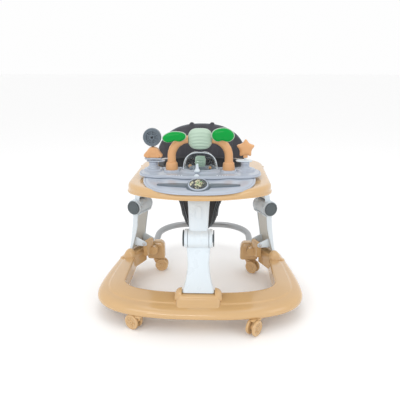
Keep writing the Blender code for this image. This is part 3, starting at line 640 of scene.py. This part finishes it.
def make_upper_arm(name, place):
    shapes = [loft([channel(r, 3.0) for r in refine(UPPER_ROWS, 8)])]
    barrel = [(5.3, -31), (28, -31), (29, -29.6), (29, -12), (28.7, -11.4), (28.7, 11.4),
              (29, 12), (29, 29.6), (28, 31), (5.3, 31)]
    shapes.append(lathe(barrel, KNEE, "x", 64, 1, True))
    neck = [(-8, 262), (5.5, 262), (9, 280)] + arc(0, 280, 9, range(15, 166, 15)) + [(-9, 280)]
    shapes.append(prism(neck, -14, 14, "x", 0.8))
    shapes.append(loft([[(x, y, z) for x, y in rounded((-31 + d, 31 - d), (-14 + d, 5 - d), 5)]
                        for z, d in ((258, 0), (263, 0), (265, 2))]))
    piece(f"{name}_upper_arm", joined(*shapes), WHITE, f"{name}_upper", place=place, bevel=0.5)
    strips = [(-1, -0.34), (-0.26, -0.04), (0.04, 0.26), (0.34, 1)]
    shapes = [liner(UPPER_ROWS, 176, 224, [(-1, 1)]), liner(UPPER_ROWS, 223, 251, strips),
              liner(UPPER_ROWS, 250, 257, [(-1, 1)])]
    # The arm liner's beige-grey is painted shade on white plastic.
    piece(f"{name}_arm_liner", joined(*shapes), SHADE_PAINTED_WHITE, f"{name}_upper", place=place)
    groove = soften([(-9, 200), (9, 200), (9, 232), (0, 240), (-9, 232)], 2, True)
    pad = [(x, -34.6 + (z - 200) * 0.275 - 0.4, z) for x, z in groove]
    lower = [(x * 0.8, y + 1.6, z) for x, y, z in pad]
    piece(f"{name}_arm_mark", loft([lower, pad]), WHITE, f"{name}_upper", place=place, bevel=0.3)
    pin = lathe([(0, -20), (5.5, -20), (5.5, -18.9), (3.5, -18.8), (3.5, 18.8), (5.5, 18.9),
                 (5.5, 20), (0, 20)], ARM_TOP, "x", 24, 0)
    piece(f"{name}_tray_pin", pin, ZINC, "tray", place=place)


def make_buttons(name, place):
    for side, end in ((-1, "a"), (1, "b")):
        face = [(0, 46.4), (8, 46.4), (9, 46.9), (10, 46.4), (17, 46.4), (18, 45.6), (19, 45.6),
                (20, 46.9), (23.4, 47.4), (24.6, 46.2), (25, 44.6), (24.2, 43.7), (12, 43.7),
                (12, 39.6), (0, 39.6)]
        shapes = [lathe([(r, side * h) for r, h in face], KNEE, "x", 64, 1)]
        for y, z in arc(KNEE[1], KNEE[2], 24.4, range(0, 360, 15)):
            shapes.append(lathe([(0, side * 44.2), (0.8, side * 44.2), (0.8, side * 46.6),
                                 (0, side * 46.8)], (0, y, z), "x", 8, 0))
        piece(f"{name}_knee_button_{end}", joined(*shapes), DARK, f"{name}_button_{end}", place=place)


def make_legs():
    for name in LEGS:
        place = leg_frame(name)
        make_lower_leg(name, place)
        make_upper_arm(name, place)
        make_buttons(name, place)


# ---- tray ----

def tray_edge():
    """The tray's plan outline, counter-clockwise."""
    right = []
    for i in range(48):
        angle = radians(90 * i / 48)
        right.append((221 * sin(angle) ** 1.0526, -190 - 147 * cos(angle) ** 1.0526))
    for i in range(10):
        right.append((221, mix(-190, 60, i / 10)))
    for i in range(30):
        angle = radians(90 * i / 30)
        right.append((221 * cos(angle) ** 0.75, 60 + 140 * sin(angle) ** 0.75))
    return right + [(0.0, 200.0)] + [(-x, y) for x, y in right[:0:-1]]


def front_share(y):
    return step((-200 - y) / 137)


def deck_fall(y):
    return 9 * step((-290 - y) / 47)


def tray_level(outline, z, distance):
    ring = []
    for x, y in inset(outline, distance):
        drop = deck_fall(y) if z > 426 else 0.0
        rise = 9 * front_share(y) * max(0.0, 1 - (z - 405) / 16)
        ring.append((x, y, z - drop + rise))
    return ring


def around_hole(outline):
    """The edge of the tray's opening, with one point in line with each point of an outline."""
    found = []
    for x, y in outline:
        angle = atan2(y - HOLE_Y, x)
        c, s = cos(angle), sin(angle)
        radius = (abs(c / HOLE_HALF_X) ** 2.4 + abs(s / HOLE_HALF_Y) ** 2.4) ** (-1 / 2.4)
        found.append((radius * c, HOLE_Y + radius * s))
    return found


def make_tray():
    outline = tray_edge()
    levels = [(408, 4), (405.4, 2.8), (404.8, 1.4), (405.8, 0.2), (408, -0.3), (410.2, 0.2),
              (411.4, 1.8), (413, 2.6), (418, 2.3), (425, 2.6), (429, 3.6), (432.6, 5.8),
              (435, 9), (436, 13.5), (436, 20), (436, 34), (436, 48)]
    rings = [tray_level(outline, z, d) for z, d in levels]
    hole = around_hole(outline)
    rims = [(9, 436), (5, 436.8), (1.5, 437.6), (-1, 436.6), (-2.2, 433), (-2.2, 420), (-0.5, 416),
            (1, 417), (1.5, 431), (6, 432.6)]
    for grow, z in rims:
        rings.append([(x + grow * x / HOLE_HALF_X, y + grow * (y - HOLE_Y) / HOLE_HALF_Y, z)
                      for x, y in hole])
    rings += [tray_level(outline, z, d) for z, d in ((432.5, 40), (432.5, 14), (428, 7), (414, 6))]
    piece("tray_shell", loft(rings, True), TAN, "tray")
    for name in LEGS:
        ends = [(14.8, 19), (-19, -14.8)]
        lugs = [block(pair, (-8, 8), (271, 295.5), 2.5, 0.8) for pair in ends]
        lugs.append(block((-26, 26), (-1, 1), (284, 295), 0.6, 0.4))
        piece(f"tray_lugs_{name}", joined(*lugs), TAN, "tray", place=leg_frame(name))
    ribs = []
    for x in (-150, -90, 90, 150):
        ribs.append(block((x - 1, x + 1), (-280, -90), (420, 433), 0.6, 0.4))
    piece("tray_ribs", joined(*ribs), TAN, "tray")


def panel_top(y):
    return mix(432, 446, min(max((y + 329) / 124, 0.0), 1.0) ** 0.8)


def make_panel():
    outline = oval(0, -150, 172, 179, 84, 2.9, 160)

    def level(distance, lift, flat=None):
        ring = []
        for x, y in inset(outline, distance):
            ring.append((x, y, flat if flat else panel_top(y) + lift))
        return ring

    low = [(x, y, DECK_Z + 1.2 - deck_fall(y)) for x, y in inset(outline, 0.4)]
    rings = [level(24, 0, DECK_Z + 0.5), low, level(0, -3.4), level(0.3, -2.0), level(1.2, -0.7),
             level(2.8, 0.0), level(5.5, 0.0), level(6.8, -0.9), level(8.2, -0.9), level(9.6, 0.1)]
    ridge = oval(0, -130, 152, 80, 63, 2.9, 160)
    for share in (0.25, 0.5, 0.75, 1.0):
        edge = inset(outline, 9.6)
        rings.append([(mix(a[0], b[0], share), mix(a[1], b[1], share),
                       panel_top(mix(a[1], b[1], share)) + 0.1) for a, b in zip(edge, ridge)])
    piece("music_tray", loft(rings), PANEL, "tray")
    upper = []
    for i in range(200):
        angle = 2 * pi * i / 200
        c, s = cos(angle), sin(angle)
        x = 192 * bent(c, 0.62)
        y = -125 + (58 if s > 0 else 91) * bent(s, 0.62)
        if s < 0:
            y += 11 * exp(-((abs(x) - 92) / 26) ** 2) * abs(s)
        upper.append((x, y))
    levels = [(446.2, 3.5), (446.4, 1.4), (447.4, 0.2), (449, 0), (450.8, 0.5), (451.6, 1.6),
              (451.6, 3.2), (450.4, 4.2), (450.4, 5.4), (451.2, 6), (453.6, 6.6), (454.4, 7.8),
              (454.4, 10), (453.9, 11.2), (453.9, 14)]
    piece("music_tray_top", stepped(upper, levels), PANEL, "tray")
    make_pods()


def make_pods():
    """Raised seats round the toys, the arch and the dome, and small controls."""
    spots = [("left_pod", -150, -116, 30, 27), ("right_pod", 143, -110, 31, 28),
             ("left_arch_pod", -90, ARCH_Y, 25, 27), ("right_arch_pod", 90, ARCH_Y, 25, 27)]
    levels = [(453, -2.5), (454.2, -2.2), (454.9, -0.8), (457, 0), (458.6, 0.8), (459.2, 2.4),
              (459.2, 6)]
    for name, x, y, half_x, half_y in spots:
        piece(name, stepped(oval(x, y, half_x, half_y, half_y, 2.4, 72), levels), PANEL, "tray")
    levels = [(453, -4), (454.2, -3.6), (454.8, -1.5), (456, -0.2), (457.4, 0.8), (458, 2.5),
              (458, 12)]
    piece("dome_pod", stepped(oval(0, DOME_Y, 64, 56, 48, 2.6, 96), levels), PANEL, "tray")
    dot = lathe([(0, 450), (7, 450), (7, 455.5), (5.6, 458.6), (2.4, 460), (0, 460.2)],
                (-8, -205, 0))
    piece("panel_button", dot, WHITE, "tray")
    grille = []
    for side in (-1, 1):
        for k in range(5):
            grille.append(lathe([(0, 0), (2.0, 0), (2.0, 0.7), (1.2, 1.0), (0, 1.0)],
                                (side * (54 + 8 * k), -196 + 0.8 * k, 453.6), sides=16))
    piece("panel_lights", joined(*grille), WHITE, "tray")


def badge_plane(y):
    return BADGE_Z + (y - BADGE_Y) * BADGE_SLOPE


def make_badge():
    """A tilted oval boss with side bars, pale and dark rings, a plain picture and a window."""
    def tilted(half_x, half_y, levels):
        outline = oval(0, BADGE_Y, half_x, half_y, half_y, 2, 96)
        return loft([[(x, y, badge_plane(y) + h) for x, y in inset(outline, d)]
                     for h, d in levels])

    root = [(x, y, panel_top(y) - 0.8) for x, y in oval(0, BADGE_Y, 34.5, 28.6, 29, 2, 96)]
    rings = [root]
    for h, d in ((-3, 0), (-1, 0), (-0.3, 0.3), (0.2, 1), (0.3, 2.2), (-0.4, 3)):
        rings.append([(x, y, max(badge_plane(y) + h, panel_top(y)))
                      for x, y in inset(oval(0, BADGE_Y, 32, 27, 27, 2, 96), d)])
    shapes = [loft(rings)]
    for side in (-1, 1):
        outline = soften([(side * x, y) for x, y in ((22, -284), (70, -278), (116, -269.5),
                                                     (123, -264), (117, -257.5), (22, -252))],
                         2, True)[::side]
        shapes.append(loft([[(x, y, panel_top(y) + h) for x, y in inset(outline, d)]
                            for h, d in ((-0.6, 0), (2.8, 0), (3.6, 0.5), (3.9, 1.4))]))
    piece("badge_bezel", joined(*shapes), SLATE, "tray")
    piece("badge_ring", tilted(29, 24, ((-0.6, 0), (1.0, 0), (1.6, 0.4), (1.8, 1.2), (1.6, 2.6))),
          PANEL, "tray")
    piece("badge_seat", tilted(26, 21, ((0.4, 0), (1.9, 0), (2.2, 0.5), (2.2, 2.2))), DARK, "tray")
    piece("badge_picture", tilted(24, 19, ((1.6, 0), (2.4, 0.1))), picture(), "tray")
    piece("badge_window", tilted(24.4, 19.4, ((2.5, 0), (3.0, 0.4), (3.5, 2), (3.9, 6), (4, 10))),
          CLEAR, "tray")


# ---- toys ----

def make_arch():
    for side, name in ((-1, "left"), (1, "right")):
        path, radii = [], []
        for i in range(8):
            path.append((side * 90, ARCH_Y, mix(456, 500, i / 7)))
            radii.append(mix(14.6, 13.0, step(i / 7)))
        for i in range(1, 33):
            angle = radians(90 * i / 32)
            path.append((side * (37.5 + 52.5 * cos(angle)), ARCH_Y, 500 + 54 * sin(angle)))
            radii.append(13.0 - 0.9 * step((i - 18) / 12) + (0.5 if i in (9, 10, 21, 22) else 0))
        collar = lathe([(12, 455), (18.4, 455), (19.2, 457), (19.2, 470), (18.2, 473.5), (18, 478),
                        (16.2, 482), (12, 483)], (side * 90, ARCH_Y, 0), loop=True)
        piece(f"arch_tube_{name}", joined(pipe(path, radii, (0, side, 0), 40), collar), TOY_TAN,
              "tray")
    rings = []
    for i in range(45):
        lift = radians(-90 + 180 * i / 44)
        rise = 32.5 * bent(sin(lift), 0.95)
        wide = abs(cos(lift)) ** 0.58
        ring = []
        for a in range(64):
            turn = 2 * pi * a / 64
            c, s = cos(turn), sin(turn)
            x = 38.5 * wide * bent(c, 0.8)
            y = (24 if s < 0 else 16) * wide * bent(s, 0.9)
            ridge = 1.3 * sin((rise + x * x * 0.006) * 0.62) if s < 0 else 0.0
            ring.append((x, ARCH_Y + y - ridge * max(0.0, -s) * wide, 556 + rise))
        rings.append(ring)
    piece("arch_shell", loft(rings), MINT, "tray", angle=60)


# side, centre x and z, half width and height, lean
LEAVES = {"left": (-1, -77.5, 563.5, 35.5, 16.5, 0.10),
          "right": (1, 69.0, 570.0, 33.5, 21.5, -0.02)}


def leaf_outline(leaf, scale, count=96):
    side, cx, cz, half_x, half_z, lean = leaf
    outline = []
    for i in range(count):
        angle = 2 * pi * i / count
        c, s = cos(angle), sin(angle)
        notch = 5.5 * exp(-((angle - 1.5 * pi) / 0.34) ** 2)
        bulge = 1.5 * exp(-((angle - 0.4 * pi) / 0.5) ** 2)
        x = (half_x + 1.5 * c) * scale * c
        z = (half_z * bent(s, 0.9) + notch + bulge) * scale
        outline.append((cx + side * x, cz + z + lean * side * x))
    return outline


def make_leaves():
    for name, leaf in LEAVES.items():
        back = [(-148.5, 0.98), (-149.5, 1.04), (-152, 1.06), (-154.2, 1.04), (-155, 1.0)]
        rings = [[(x, y, z) for x, z in leaf_outline(leaf, k)] for y, k in back]
        piece(f"leaf_rim_{name}", loft(rings), MINT, "tray")
        front = [(-153.6, 0.97), (-156, 0.99), (-158.4, 0.96), (-160.6, 0.9), (-162.8, 0.76),
                 (-164, 0.58), (-164.6, 0.36), (-164.8, 0.14)]
        rings = [[(x, y, z) for x, z in leaf_outline(leaf, k)] for y, k in refine(front, 3)]
        piece(f"leaf_{name}", loft(rings), GREEN, "tray")


def dome_ring(shrink, angle, base_z):
    scale = cos(angle) ** 0.62
    height = base_z + (54.5 - shrink) * sin(angle)
    half_x, half_y = (52.5 - shrink) * scale, (36.5 - shrink) * scale
    return [(x, y, height) for x, y in oval(0, DOME_Y, half_x, half_y, half_y, 2.3, 96)]


def make_dome():
    levels = [(456, 0), (457.8, 0), (459.2, 0.6), (460, 2), (460, 3.6), (458.8, 4.6), (458.8, 8)]
    piece("dome_base", stepped(oval(0, DOME_Y, 57, 41, 41, 2.3, 96), levels), PANEL, "tray")
    steps = [radians(86 * i / 20) for i in range(21)]
    rings = [dome_ring(0, a, 459) for a in steps] + [dome_ring(1.8, a, 459) for a in steps[::-1]]
    piece("dome_cover", loft(rings, True), CLEAR, "tray")
    # A thin white bar along the clear dome's outline: a painted highlight for the dome's bright edge.
    dome_highlight_path = []
    for i in range(49):
        angle = pi * i / 48
        c, s = cos(angle), sin(angle)
        dome_highlight_path.append((53.2 * bent(c, 0.72), DOME_Y - 17, 459.5 + 52.5 * abs(s) ** 0.8))
    piece("dome_edge_highlight", pipe(dome_highlight_path, 1.25, (0, 1, 0), 12), WHITE, "tray")
    shapes = []
    for y, z in arc(DOME_Y, 481, 15.5, range(0, 360, 30)):
        shapes.append(lathe([(0, -15), (2.4, -13), (3, 0), (2.4, 13), (0, 15)], (0, y, z), "x", 12))
    body = lathe([(0, -17), (9, -17), (14, -13.4), (15.4, -6), (15.4, 6), (14, 13.4), (9, 17),
                  (0, 17)], (0, DOME_Y, 481), "x")
    piece("dome_roller", joined(body, *shapes), MINT, "roller")
    for k, (x, y, r) in enumerate(((-33, -112, 6), (33, -110, 6), (-30, -124, 4.4),
                                   (31, -126, 4.6), (-40, -104, 4.2), (41, -103, 4))):
        profile = [(r * sin(radians(a)), -r * cos(radians(a)))
                   for a in range(0, 181, 15)]
        piece(f"dome_bead_{k}", lathe(profile, (x, y, 459.4 + r), rounds=0, sides=24),
              (TOY_TAN, SLATE, PANEL)[k % 3], "tray")


def make_joystick():
    profile = [(0, 454.9), (4, 455.4), (8, 459), (9.2, 462), (8.4, 465), (5.6, 468.5), (4.6, 474),
               (3.9, 480), (3.2, 483), (1.6, 485), (0, 485.4)]
    piece("joystick", lathe(profile, (-8, -168, 0)), WHITE, "joystick")


def make_left_toy():
    x, y = -150, -116
    post = [(0, 454.4), (20, 454.4), (20, 461), (18, 464.5), (14.6, 466), (13.8, 472), (14.6, 474),
            (14.6, 478), (12, 480.6), (0, 480.8)]
    piece("left_post", lathe(post, (x, y, 0)), PANEL, "tray")
    plate = oval(x + 8, y, 30, 15, 15, 2.3, 72)
    peg = lathe([(0, 484), (5, 484), (5, 490), (0, 490)], (x, y, 0), sides=32)
    under = prism(rounded((x - 27, x + 27), (y - 12, y + 12), 4), 488.6, 494.0, "z", 1)
    piece("left_lever", joined(prism(plate, 480.9, 485.4, "z", 1.4), peg, under), PANEL, "left_toy")
    body = soften([(x - 29, 494.3), (x + 29, 494.3), (x + 29, 502), (x + 22, 509), (x + 13, 526),
                   (x - 9, 528.5), (x - 22, 512), (x - 29, 505)], 2, True)
    inner = soften([(x - 15, 507), (x + 14, 507), (x + 8, 520), (x - 7, 521.5)], 1, True)
    shapes = [prism(body, y - 13, y + 13, "y", 2.2),
              prism(inner, y - 14.2, y + 14.2, "y", 0.8)]
    for side in (-1, 1):
        for cx in (-16, 16):
            shapes.append(lathe([(0, 0), (5, 0), (5, side * 2), (3, side * 2.6), (0, side * 2.6)],
                                (x + cx, y + side * 12.6, 499.5), "y", 28))
    cx, cz = x - 2, 558.3
    piece("left_car", joined(*shapes), TOY_TAN, "left_toy")
    strip = soften([(cx - 4, 520), (cx + 4, 520), (cx + 4.2, cz), (cx + 2, cz + 4),
                    (cx - 2, cz + 4), (cx - 4.2, cz)], 1, True)
    piece("left_toy_fork", prism(strip, y + 9.8, y + 12.4, "y", 0.6), SLATE, "left_toy")
    rim = [(18.5, -7.6), (20.5, -8.6), (21.6, -8.8), (22.6, -7.6), (24, -7.6), (25, -8.6),
           (27.4, -8.4), (28.5, -7), (28.5, -1), (28, 0), (28.5, 1), (28.5, 7), (27.4, 8.4),
           (25, 8.6), (24, 7.6), (22.6, 7.6), (21.6, 8.8), (20.5, 8.6), (18.5, 7.6)]
    shapes = [lathe(rim, (cx, y, cz), "y", 72, 1, True),
              lathe([(3.4, -7.6), (8, -7.6), (9, -6.6), (9, 6.6), (8, 7.6), (3.4, 7.6)],
                    (cx, y, cz), "y", 48, 1, True),
              lathe([(3.4, -3), (19, -3), (19, 3), (3.4, 3)], (cx, y, cz), "y", 48, 0, True)]
    shapes += spokes(block((7.5, 20), (-2, 2), (-6.4, 6.4), 1, 0.8), (cx, y, cz), 30)
    piece("left_toy_wheel", joined(*shapes), SLATE, "toy_wheel")


def make_right_toy():
    x, y = 143, -110
    post = [(0, 454.4), (21, 454.4), (21, 459.5), (18, 462.6), (14, 464), (12.8, 471), (14, 474),
            (14, 478), (11.4, 480.6), (0, 480.8)]
    piece("right_post", lathe(post, (x, y, 0)), PANEL, "tray")
    arm = prism(oval(x - 4, y, 26, 12, 12, 2.3, 72), 480.9, 486.2, "z", 1.4)
    peg = lathe([(0, 485), (4.2, 485), (4.2, 492.6), (0, 493.2)], (x, y, 0), sides=32)
    piece("right_arm", joined(arm, peg), WHITE, "right_toy")
    cz = 523.3
    star = []
    for i in range(10):
        star += arc(0, 0, (33, 18)[i % 2], [90 + 36 * i])
    star = soften(star, 3, True)
    levels = [(-12.2, 0.42), (-11.6, 0.62), (-10, 0.8), (-7.6, 0.93), (-4.5, 0.99), (0, 1.01)]
    levels = refine(levels + [(-h, k) for h, k in levels[-2::-1]], 2)
    rings = [[(x + a * k, y + h, cz + b * k) for a, b in star] for h, k in levels]
    foot = block((x - 7, x + 7), (y - 5, y + 5), (494, 506), 2, 1)
    piece("right_star", joined(loft(rings), foot), TOY_TAN, "star", angle=50)


# ---- seat ----

SEAT_SHIFT = Matrix.Translation((-0.005, 0, 0))


def seat_top(x):
    return 440 + 124 * max(0.0, 1 - (abs(x) / 165) ** 2.5) ** (1 / 2.2)


def seat_front(x):
    return 178 - 36 * (x / 163) ** 2


def puff(obj, pinned, limit):
    """Fills a fabric shape with a little air and keeps each point near where it was."""
    mesh = obj.data
    rest = [v.co.copy() for v in mesh.vertices]
    group = obj.vertex_groups.new(name="Stitched")
    group.add([i for i, p in enumerate(rest) if pinned(p)], 1.0, "REPLACE")
    cloth = obj.modifiers.new("Cloth", "CLOTH")
    settings = cloth.settings
    settings.quality = 6
    settings.mass = 0.2
    settings.tension_stiffness = 12
    settings.compression_stiffness = 8
    settings.shear_stiffness = 5
    settings.bending_stiffness = 0.4
    settings.use_pressure = True
    settings.uniform_pressure_force = 4
    settings.vertex_group_mass = "Stitched"
    settings.effector_weights.gravity = 0
    cloth.point_cache.frame_start = 1
    cloth.point_cache.frame_end = CLOTH_FRAMES
    for frame_number in range(1, CLOTH_FRAMES + 1):
        bpy.context.scene.frame_set(frame_number)
    shown = obj.evaluated_get(bpy.context.evaluated_depsgraph_get()).to_mesh()
    moved = [v.co.copy() for v in shown.vertices]
    obj.modifiers.remove(cloth)
    for vertex, start, end in zip(mesh.vertices, rest, moved):
        shift = end - start
        if shift.length > limit:
            shift *= limit / shift.length
        vertex.co = start + shift
    bpy.context.scene.frame_set(1)
    mesh.update()


def make_seat_back():
    rings = []
    for i in range(57):
        x = 162.0 * (i / 28 - 1)
        front, top = seat_front(x), seat_top(x)
        thick = min(6.0, (top - 437) / 5)
        ring = []
        for k in range(21):
            ring.append((x, front + 9 - thick, mix(438, top, k / 20)))
        for k in range(20, -1, -1):
            ring.append((x, front + 10 + thick, mix(438, top - 0.5, k / 20)))
        rings.append(ring)
    seat = piece("seat_back", loft(rings), FABRIC, None, place=SEAT_SHIFT, angle=80)

    def stitched(p):
        x, z = p.x / MM + 5, p.z / MM
        seam = min(abs(abs(x) - 62), abs(abs(x) - 118)) < 2.4
        seam = seam or abs((z - 438) / (seat_top(x) - 438) - 0.75) < 0.026
        return seam or z > seat_top(x) - 7 or z < 445 or abs(x) > 154

    puff(seat, stitched, 0.02)
    smooth = seat.modifiers.new("Smooth", "SUBSURF")
    smooth.levels = smooth.render_levels = 1
    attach(seat, "tray")
    make_seat_trim()


def make_seat_trim():
    """Piping along the top edge, seam stitching and the two strap loops on top."""
    path = []
    for i in range(101):
        x = 161.0 * sin(pi / 2 * (i / 50 - 1))
        path.append((x, seat_front(x) + 9.5, seat_top(x) + 0.4))
    piece("seat_piping", pipe(path, 2.2, (0, 1, 0), 12), PIPING, "tray", place=SEAT_SHIFT)
    for k, x in enumerate((-38.5, 38.5)):
        loop = soften([(x - 8, 556), (x - 7, 565), (x - 3.5, 568.4), (x + 3.5, 568.4), (x + 7, 565),
                       (x + 8, 556)], 2, True)
        y = seat_front(x)
        piece(f"seat_loop_{k}", prism(loop, y + 3, y + 16, "y", 2.0), FABRIC, "tray",
              place=SEAT_SHIFT)
    thread = []
    for x in (-118, -62, 62, 118):
        y = seat_front(x) + 2.2
        count = int((seat_top(x) - 460) / 6)
        for k in range(count):
            z = 446 + 6 * k
            thread.append(block((x - 2.2, x - 1.4), (y - 0.4, y + 0.4), (z, z + 3.6), 0.3, 0.2))
    piece("seat_stitches", joined(*thread), PIPING, "tray", place=SEAT_SHIFT)


# (height, half width, half length) of the hanging seat
SLING_ROWS = [(439.6, 137.4, 109.4), (432, 135.6, 107.6), (405, 114, 98), (359, 93, 92),
              (320, 82, 86), (272, 69, 78), (235, 56, 69), (216, 43, 56), (208, 30, 42)]


def sling_lean(z):
    """How far the hanging seat leans to the left at a height."""
    return 6 * step((420 - z) / 80)


def sling_point(row, angle, spread=0.0):
    z, half_x, half_y = row
    c, s = cos(angle), sin(angle)
    power = mix(0.9, 0.833, step((z - 395) / 35))
    x = (half_x + spread) * bent(c, power)
    y = mix(46, 50, step((z - 380) / 50)) + (half_y + spread) * bent(s, power)
    fold = 2.2 * sin(angle * 9 + z * 0.02) * step((430 - z) / 60)
    rough = 5.0 * noise.noise(Vector((x * 0.02, y * 0.02, z * 0.012)))
    out = (fold + rough) * step((432 - z) / 40)
    return (x + out * c - sling_lean(z), y + out * s, z)


def make_sling():
    """The fabric seat: an open cup with two leg holes, bound with piping."""
    rows = refine(SLING_ROWS, 7)
    count = 120
    grid = [[sling_point(row, 2 * pi * k / count) for k in range(count)] for row in rows]
    points = [p for ring in grid for p in ring]

    def in_leg_hole(p):
        return abs(p[0]) > 12 and ((p[1] - LEG_HOLE_Y) / 41) ** 2 + ((p[2] - LEG_HOLE_Z) / 47) ** 2 < 1

    faces = []
    for i in range(len(grid) - 1):
        for k in range(count):
            n = (k + 1) % count
            face = (i * count + k, i * count + n, (i + 1) * count + n, (i + 1) * count + k)
            if not any(in_leg_hole(points[v]) for v in face):
                faces.append(face)
    faces.append(tuple(range((len(grid) - 1) * count, len(grid) * count)))
    sling = piece("seat_sling", (points, faces), LINING, None, angle=80)
    work = bmesh.new()
    work.from_mesh(sling.data)
    loose = [v for v in work.verts if not v.link_faces]
    bmesh.ops.delete(work, geom=loose, context="VERTS")
    bmesh.ops.solidify(work, geom=work.faces[:], thickness=0.0012)
    work.to_mesh(sling.data)
    work.free()
    sling.data.shade_smooth()
    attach(sling, "tray")
    trims = [make_leg_binding(side) for side in (-1, 1)] + [make_straps(side) for side in (-1, 1)]
    for obj in [sling] + trims:
        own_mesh(obj)
    area = sum(p.area for p in sling.data.polygons) / 2
    return sling, area, trims + [make_collar()]


def make_collar():
    """The seat's padded edge, tucked over the rim of the tray's opening."""
    rings = []
    for x, y in oval(0, HOLE_Y, HOLE_HALF_X, HOLE_HALF_Y, HOLE_HALF_Y, 2.4, 160):
        share = step((y + 40) / 120)
        out = Vector((x / HOLE_HALF_X, (y - HOLE_Y) / HOLE_HALF_Y)).normalized()
        middle, half = mix(-0.6, 8, share), mix(3.0, 12, share)
        wave = 0.5 * noise.noise(Vector((x * 0.06, y * 0.06, 0.3)))
        ring = []
        for a, b in circle(1.0, 16):
            reach = middle + half * a
            lift = 439.4 + wave + mix(2.6, 3.6, share) * (b if b > 0 else 0.55 * b)
            ring.append((x + out.x * reach, y + out.y * reach, lift))
        rings.append(ring)
    return piece("seat_collar", loft(rings, True), LINING, "tray", angle=80)


def make_leg_binding(side):
    path = []
    for i in range(72):
        angle = 2 * pi * i / 72
        y, z = LEG_HOLE_Y + 43 * cos(angle), LEG_HOLE_Z + 49 * sin(angle)
        for row, after in zip(SLING_ROWS, SLING_ROWS[1:]):
            if after[0] <= z <= row[0]:
                share = (row[0] - z) / (row[0] - after[0])
                half_x, half_y = mix(row[1], after[1], share), mix(row[2], after[2], share)
        s = min(0.98, abs((y - 46) / half_y)) ** (1 / 0.9)
        path.append((side * half_x * (1 - s * s) ** 0.45 - sling_lean(z), y, z))
    return piece(f"leg_binding_{'lr'[side > 0]}", pipe(path, 3.0, (1, 0, 0), 12, loop=True), PIPING,
                 "tray")


def make_straps(side):
    """The webbing that runs down the front corner of the seat, with its raised edges."""
    name = "lr"[side > 0]
    shapes = []
    for shift, radius in ((-9, 1.6), (0, 1.2), (9, 1.6)):
        path = []
        for row in refine(SLING_ROWS[2:8], 6):
            angle = -pi / 2 + side * (0.86 + shift * 0.9 / row[1])
            path.append(sling_point(row, angle, 1.6))
        shapes.append(pipe(path, radius, (0, 1, 0), 10))
    return piece(f"seat_strap_{name}", joined(*shapes), PIPING, "tray")


# ---- studio ----

def finish_cad_nodes():
    """Any CAD node that still shows gets its finish."""
    finishes = {"tan_plastic": TAN, "white_plastic": WHITE, "dark_grey_plastic": DARK,
                "light_grey_plastic": PANEL, "green_plastic": GREEN, "mint_plastic": MINT,
                "tube_steel": STEEL, "pin_steel": ZINC, "clear_plastic": CLEAR,
                "seat_fabric": FABRIC}
    slots = {part["node"]: part["material_slot"] for part in frame["record"]["subparts"]}
    for name, node in frame["nodes"].items():
        if not node.hide_render:
            node.data.materials.clear()
            node.data.materials.append(finishes[slots[name]])


def area_light(name, place, aim, size, power):
    light = bpy.data.lights.new(name, "AREA")
    light.shape = "RECTANGLE"
    light.size, light.size_y = size
    light.energy = power
    obj = add_object(name, light)
    obj.location = place
    obj.rotation_euler = (Vector(aim) - Vector(place)).to_track_quat("-Z", "Y").to_euler()


def make_studio():
    floor = bpy.data.meshes.new("floor")
    floor.from_pydata([(-60, -60, 0), (60, -60, 0), (60, 60, 0), (-60, 60, 0)], [],
                      [(0, 1, 2, 3)])
    obj = add_object("floor", floor)
    material = bpy.data.materials.new("floor paper")
    material.use_nodes = True
    tree = material.node_tree
    set_inputs(tree, tree.nodes["Principled BSDF"],
               {"Base Color": (0.97, 0.97, 0.97, 1), "Roughness": 0.9})
    floor.materials.append(material)
    world = bpy.data.worlds.new("studio")
    world.use_nodes = True
    tree = world.node_tree
    set_inputs(tree, tree.nodes["Background"], {"Color": (1, 1, 1, 1), "Strength": 0.99})
    bpy.context.scene.world = world
    bpy.context.scene.view_settings.view_transform = "Standard"
    area_light("key", (-1.5, -1.9, 2.2), (0, 0, 0.25), (1.4, 1.0), 8)
    area_light("fill", (1.9, -1.2, 1.6), (0, 0, 0.3), (1.2, 1.2), 5)
    area_light("strip", (-0.5, -2.3, 1.2), (0, -0.3, 0.1), (1.3, 0.16), 7)
    area_light("top", (0, 0.3, 2.6), (0, 0, 0.3), (2.0, 1.4), 8)


def make_camera():
    data = bpy.data.cameras.new("camera")
    data.lens = 40.5
    data.sensor_width = 36
    data.shift_x = -0.002
    camera = add_object("camera", data)
    turn = radians(2.05)
    place = Matrix.Rotation(turn, 4, "Z") @ Vector((-0.0028, -1.527, 0.766))
    camera.location = place
    camera.rotation_euler = (radians(73.7), 0, turn)
    bpy.context.scene.camera = camera


make_base()
make_rear()
make_casters()
make_legs()
make_tray()
make_panel()
make_badge()
make_arch()
make_leaves()
make_dome()
make_joystick()
make_left_toy()
make_right_toy()
make_seat_back()
SLING, SLING_AREA, SLING_TRIMS = make_sling()
finish_cad_nodes()
make_studio()
make_camera()
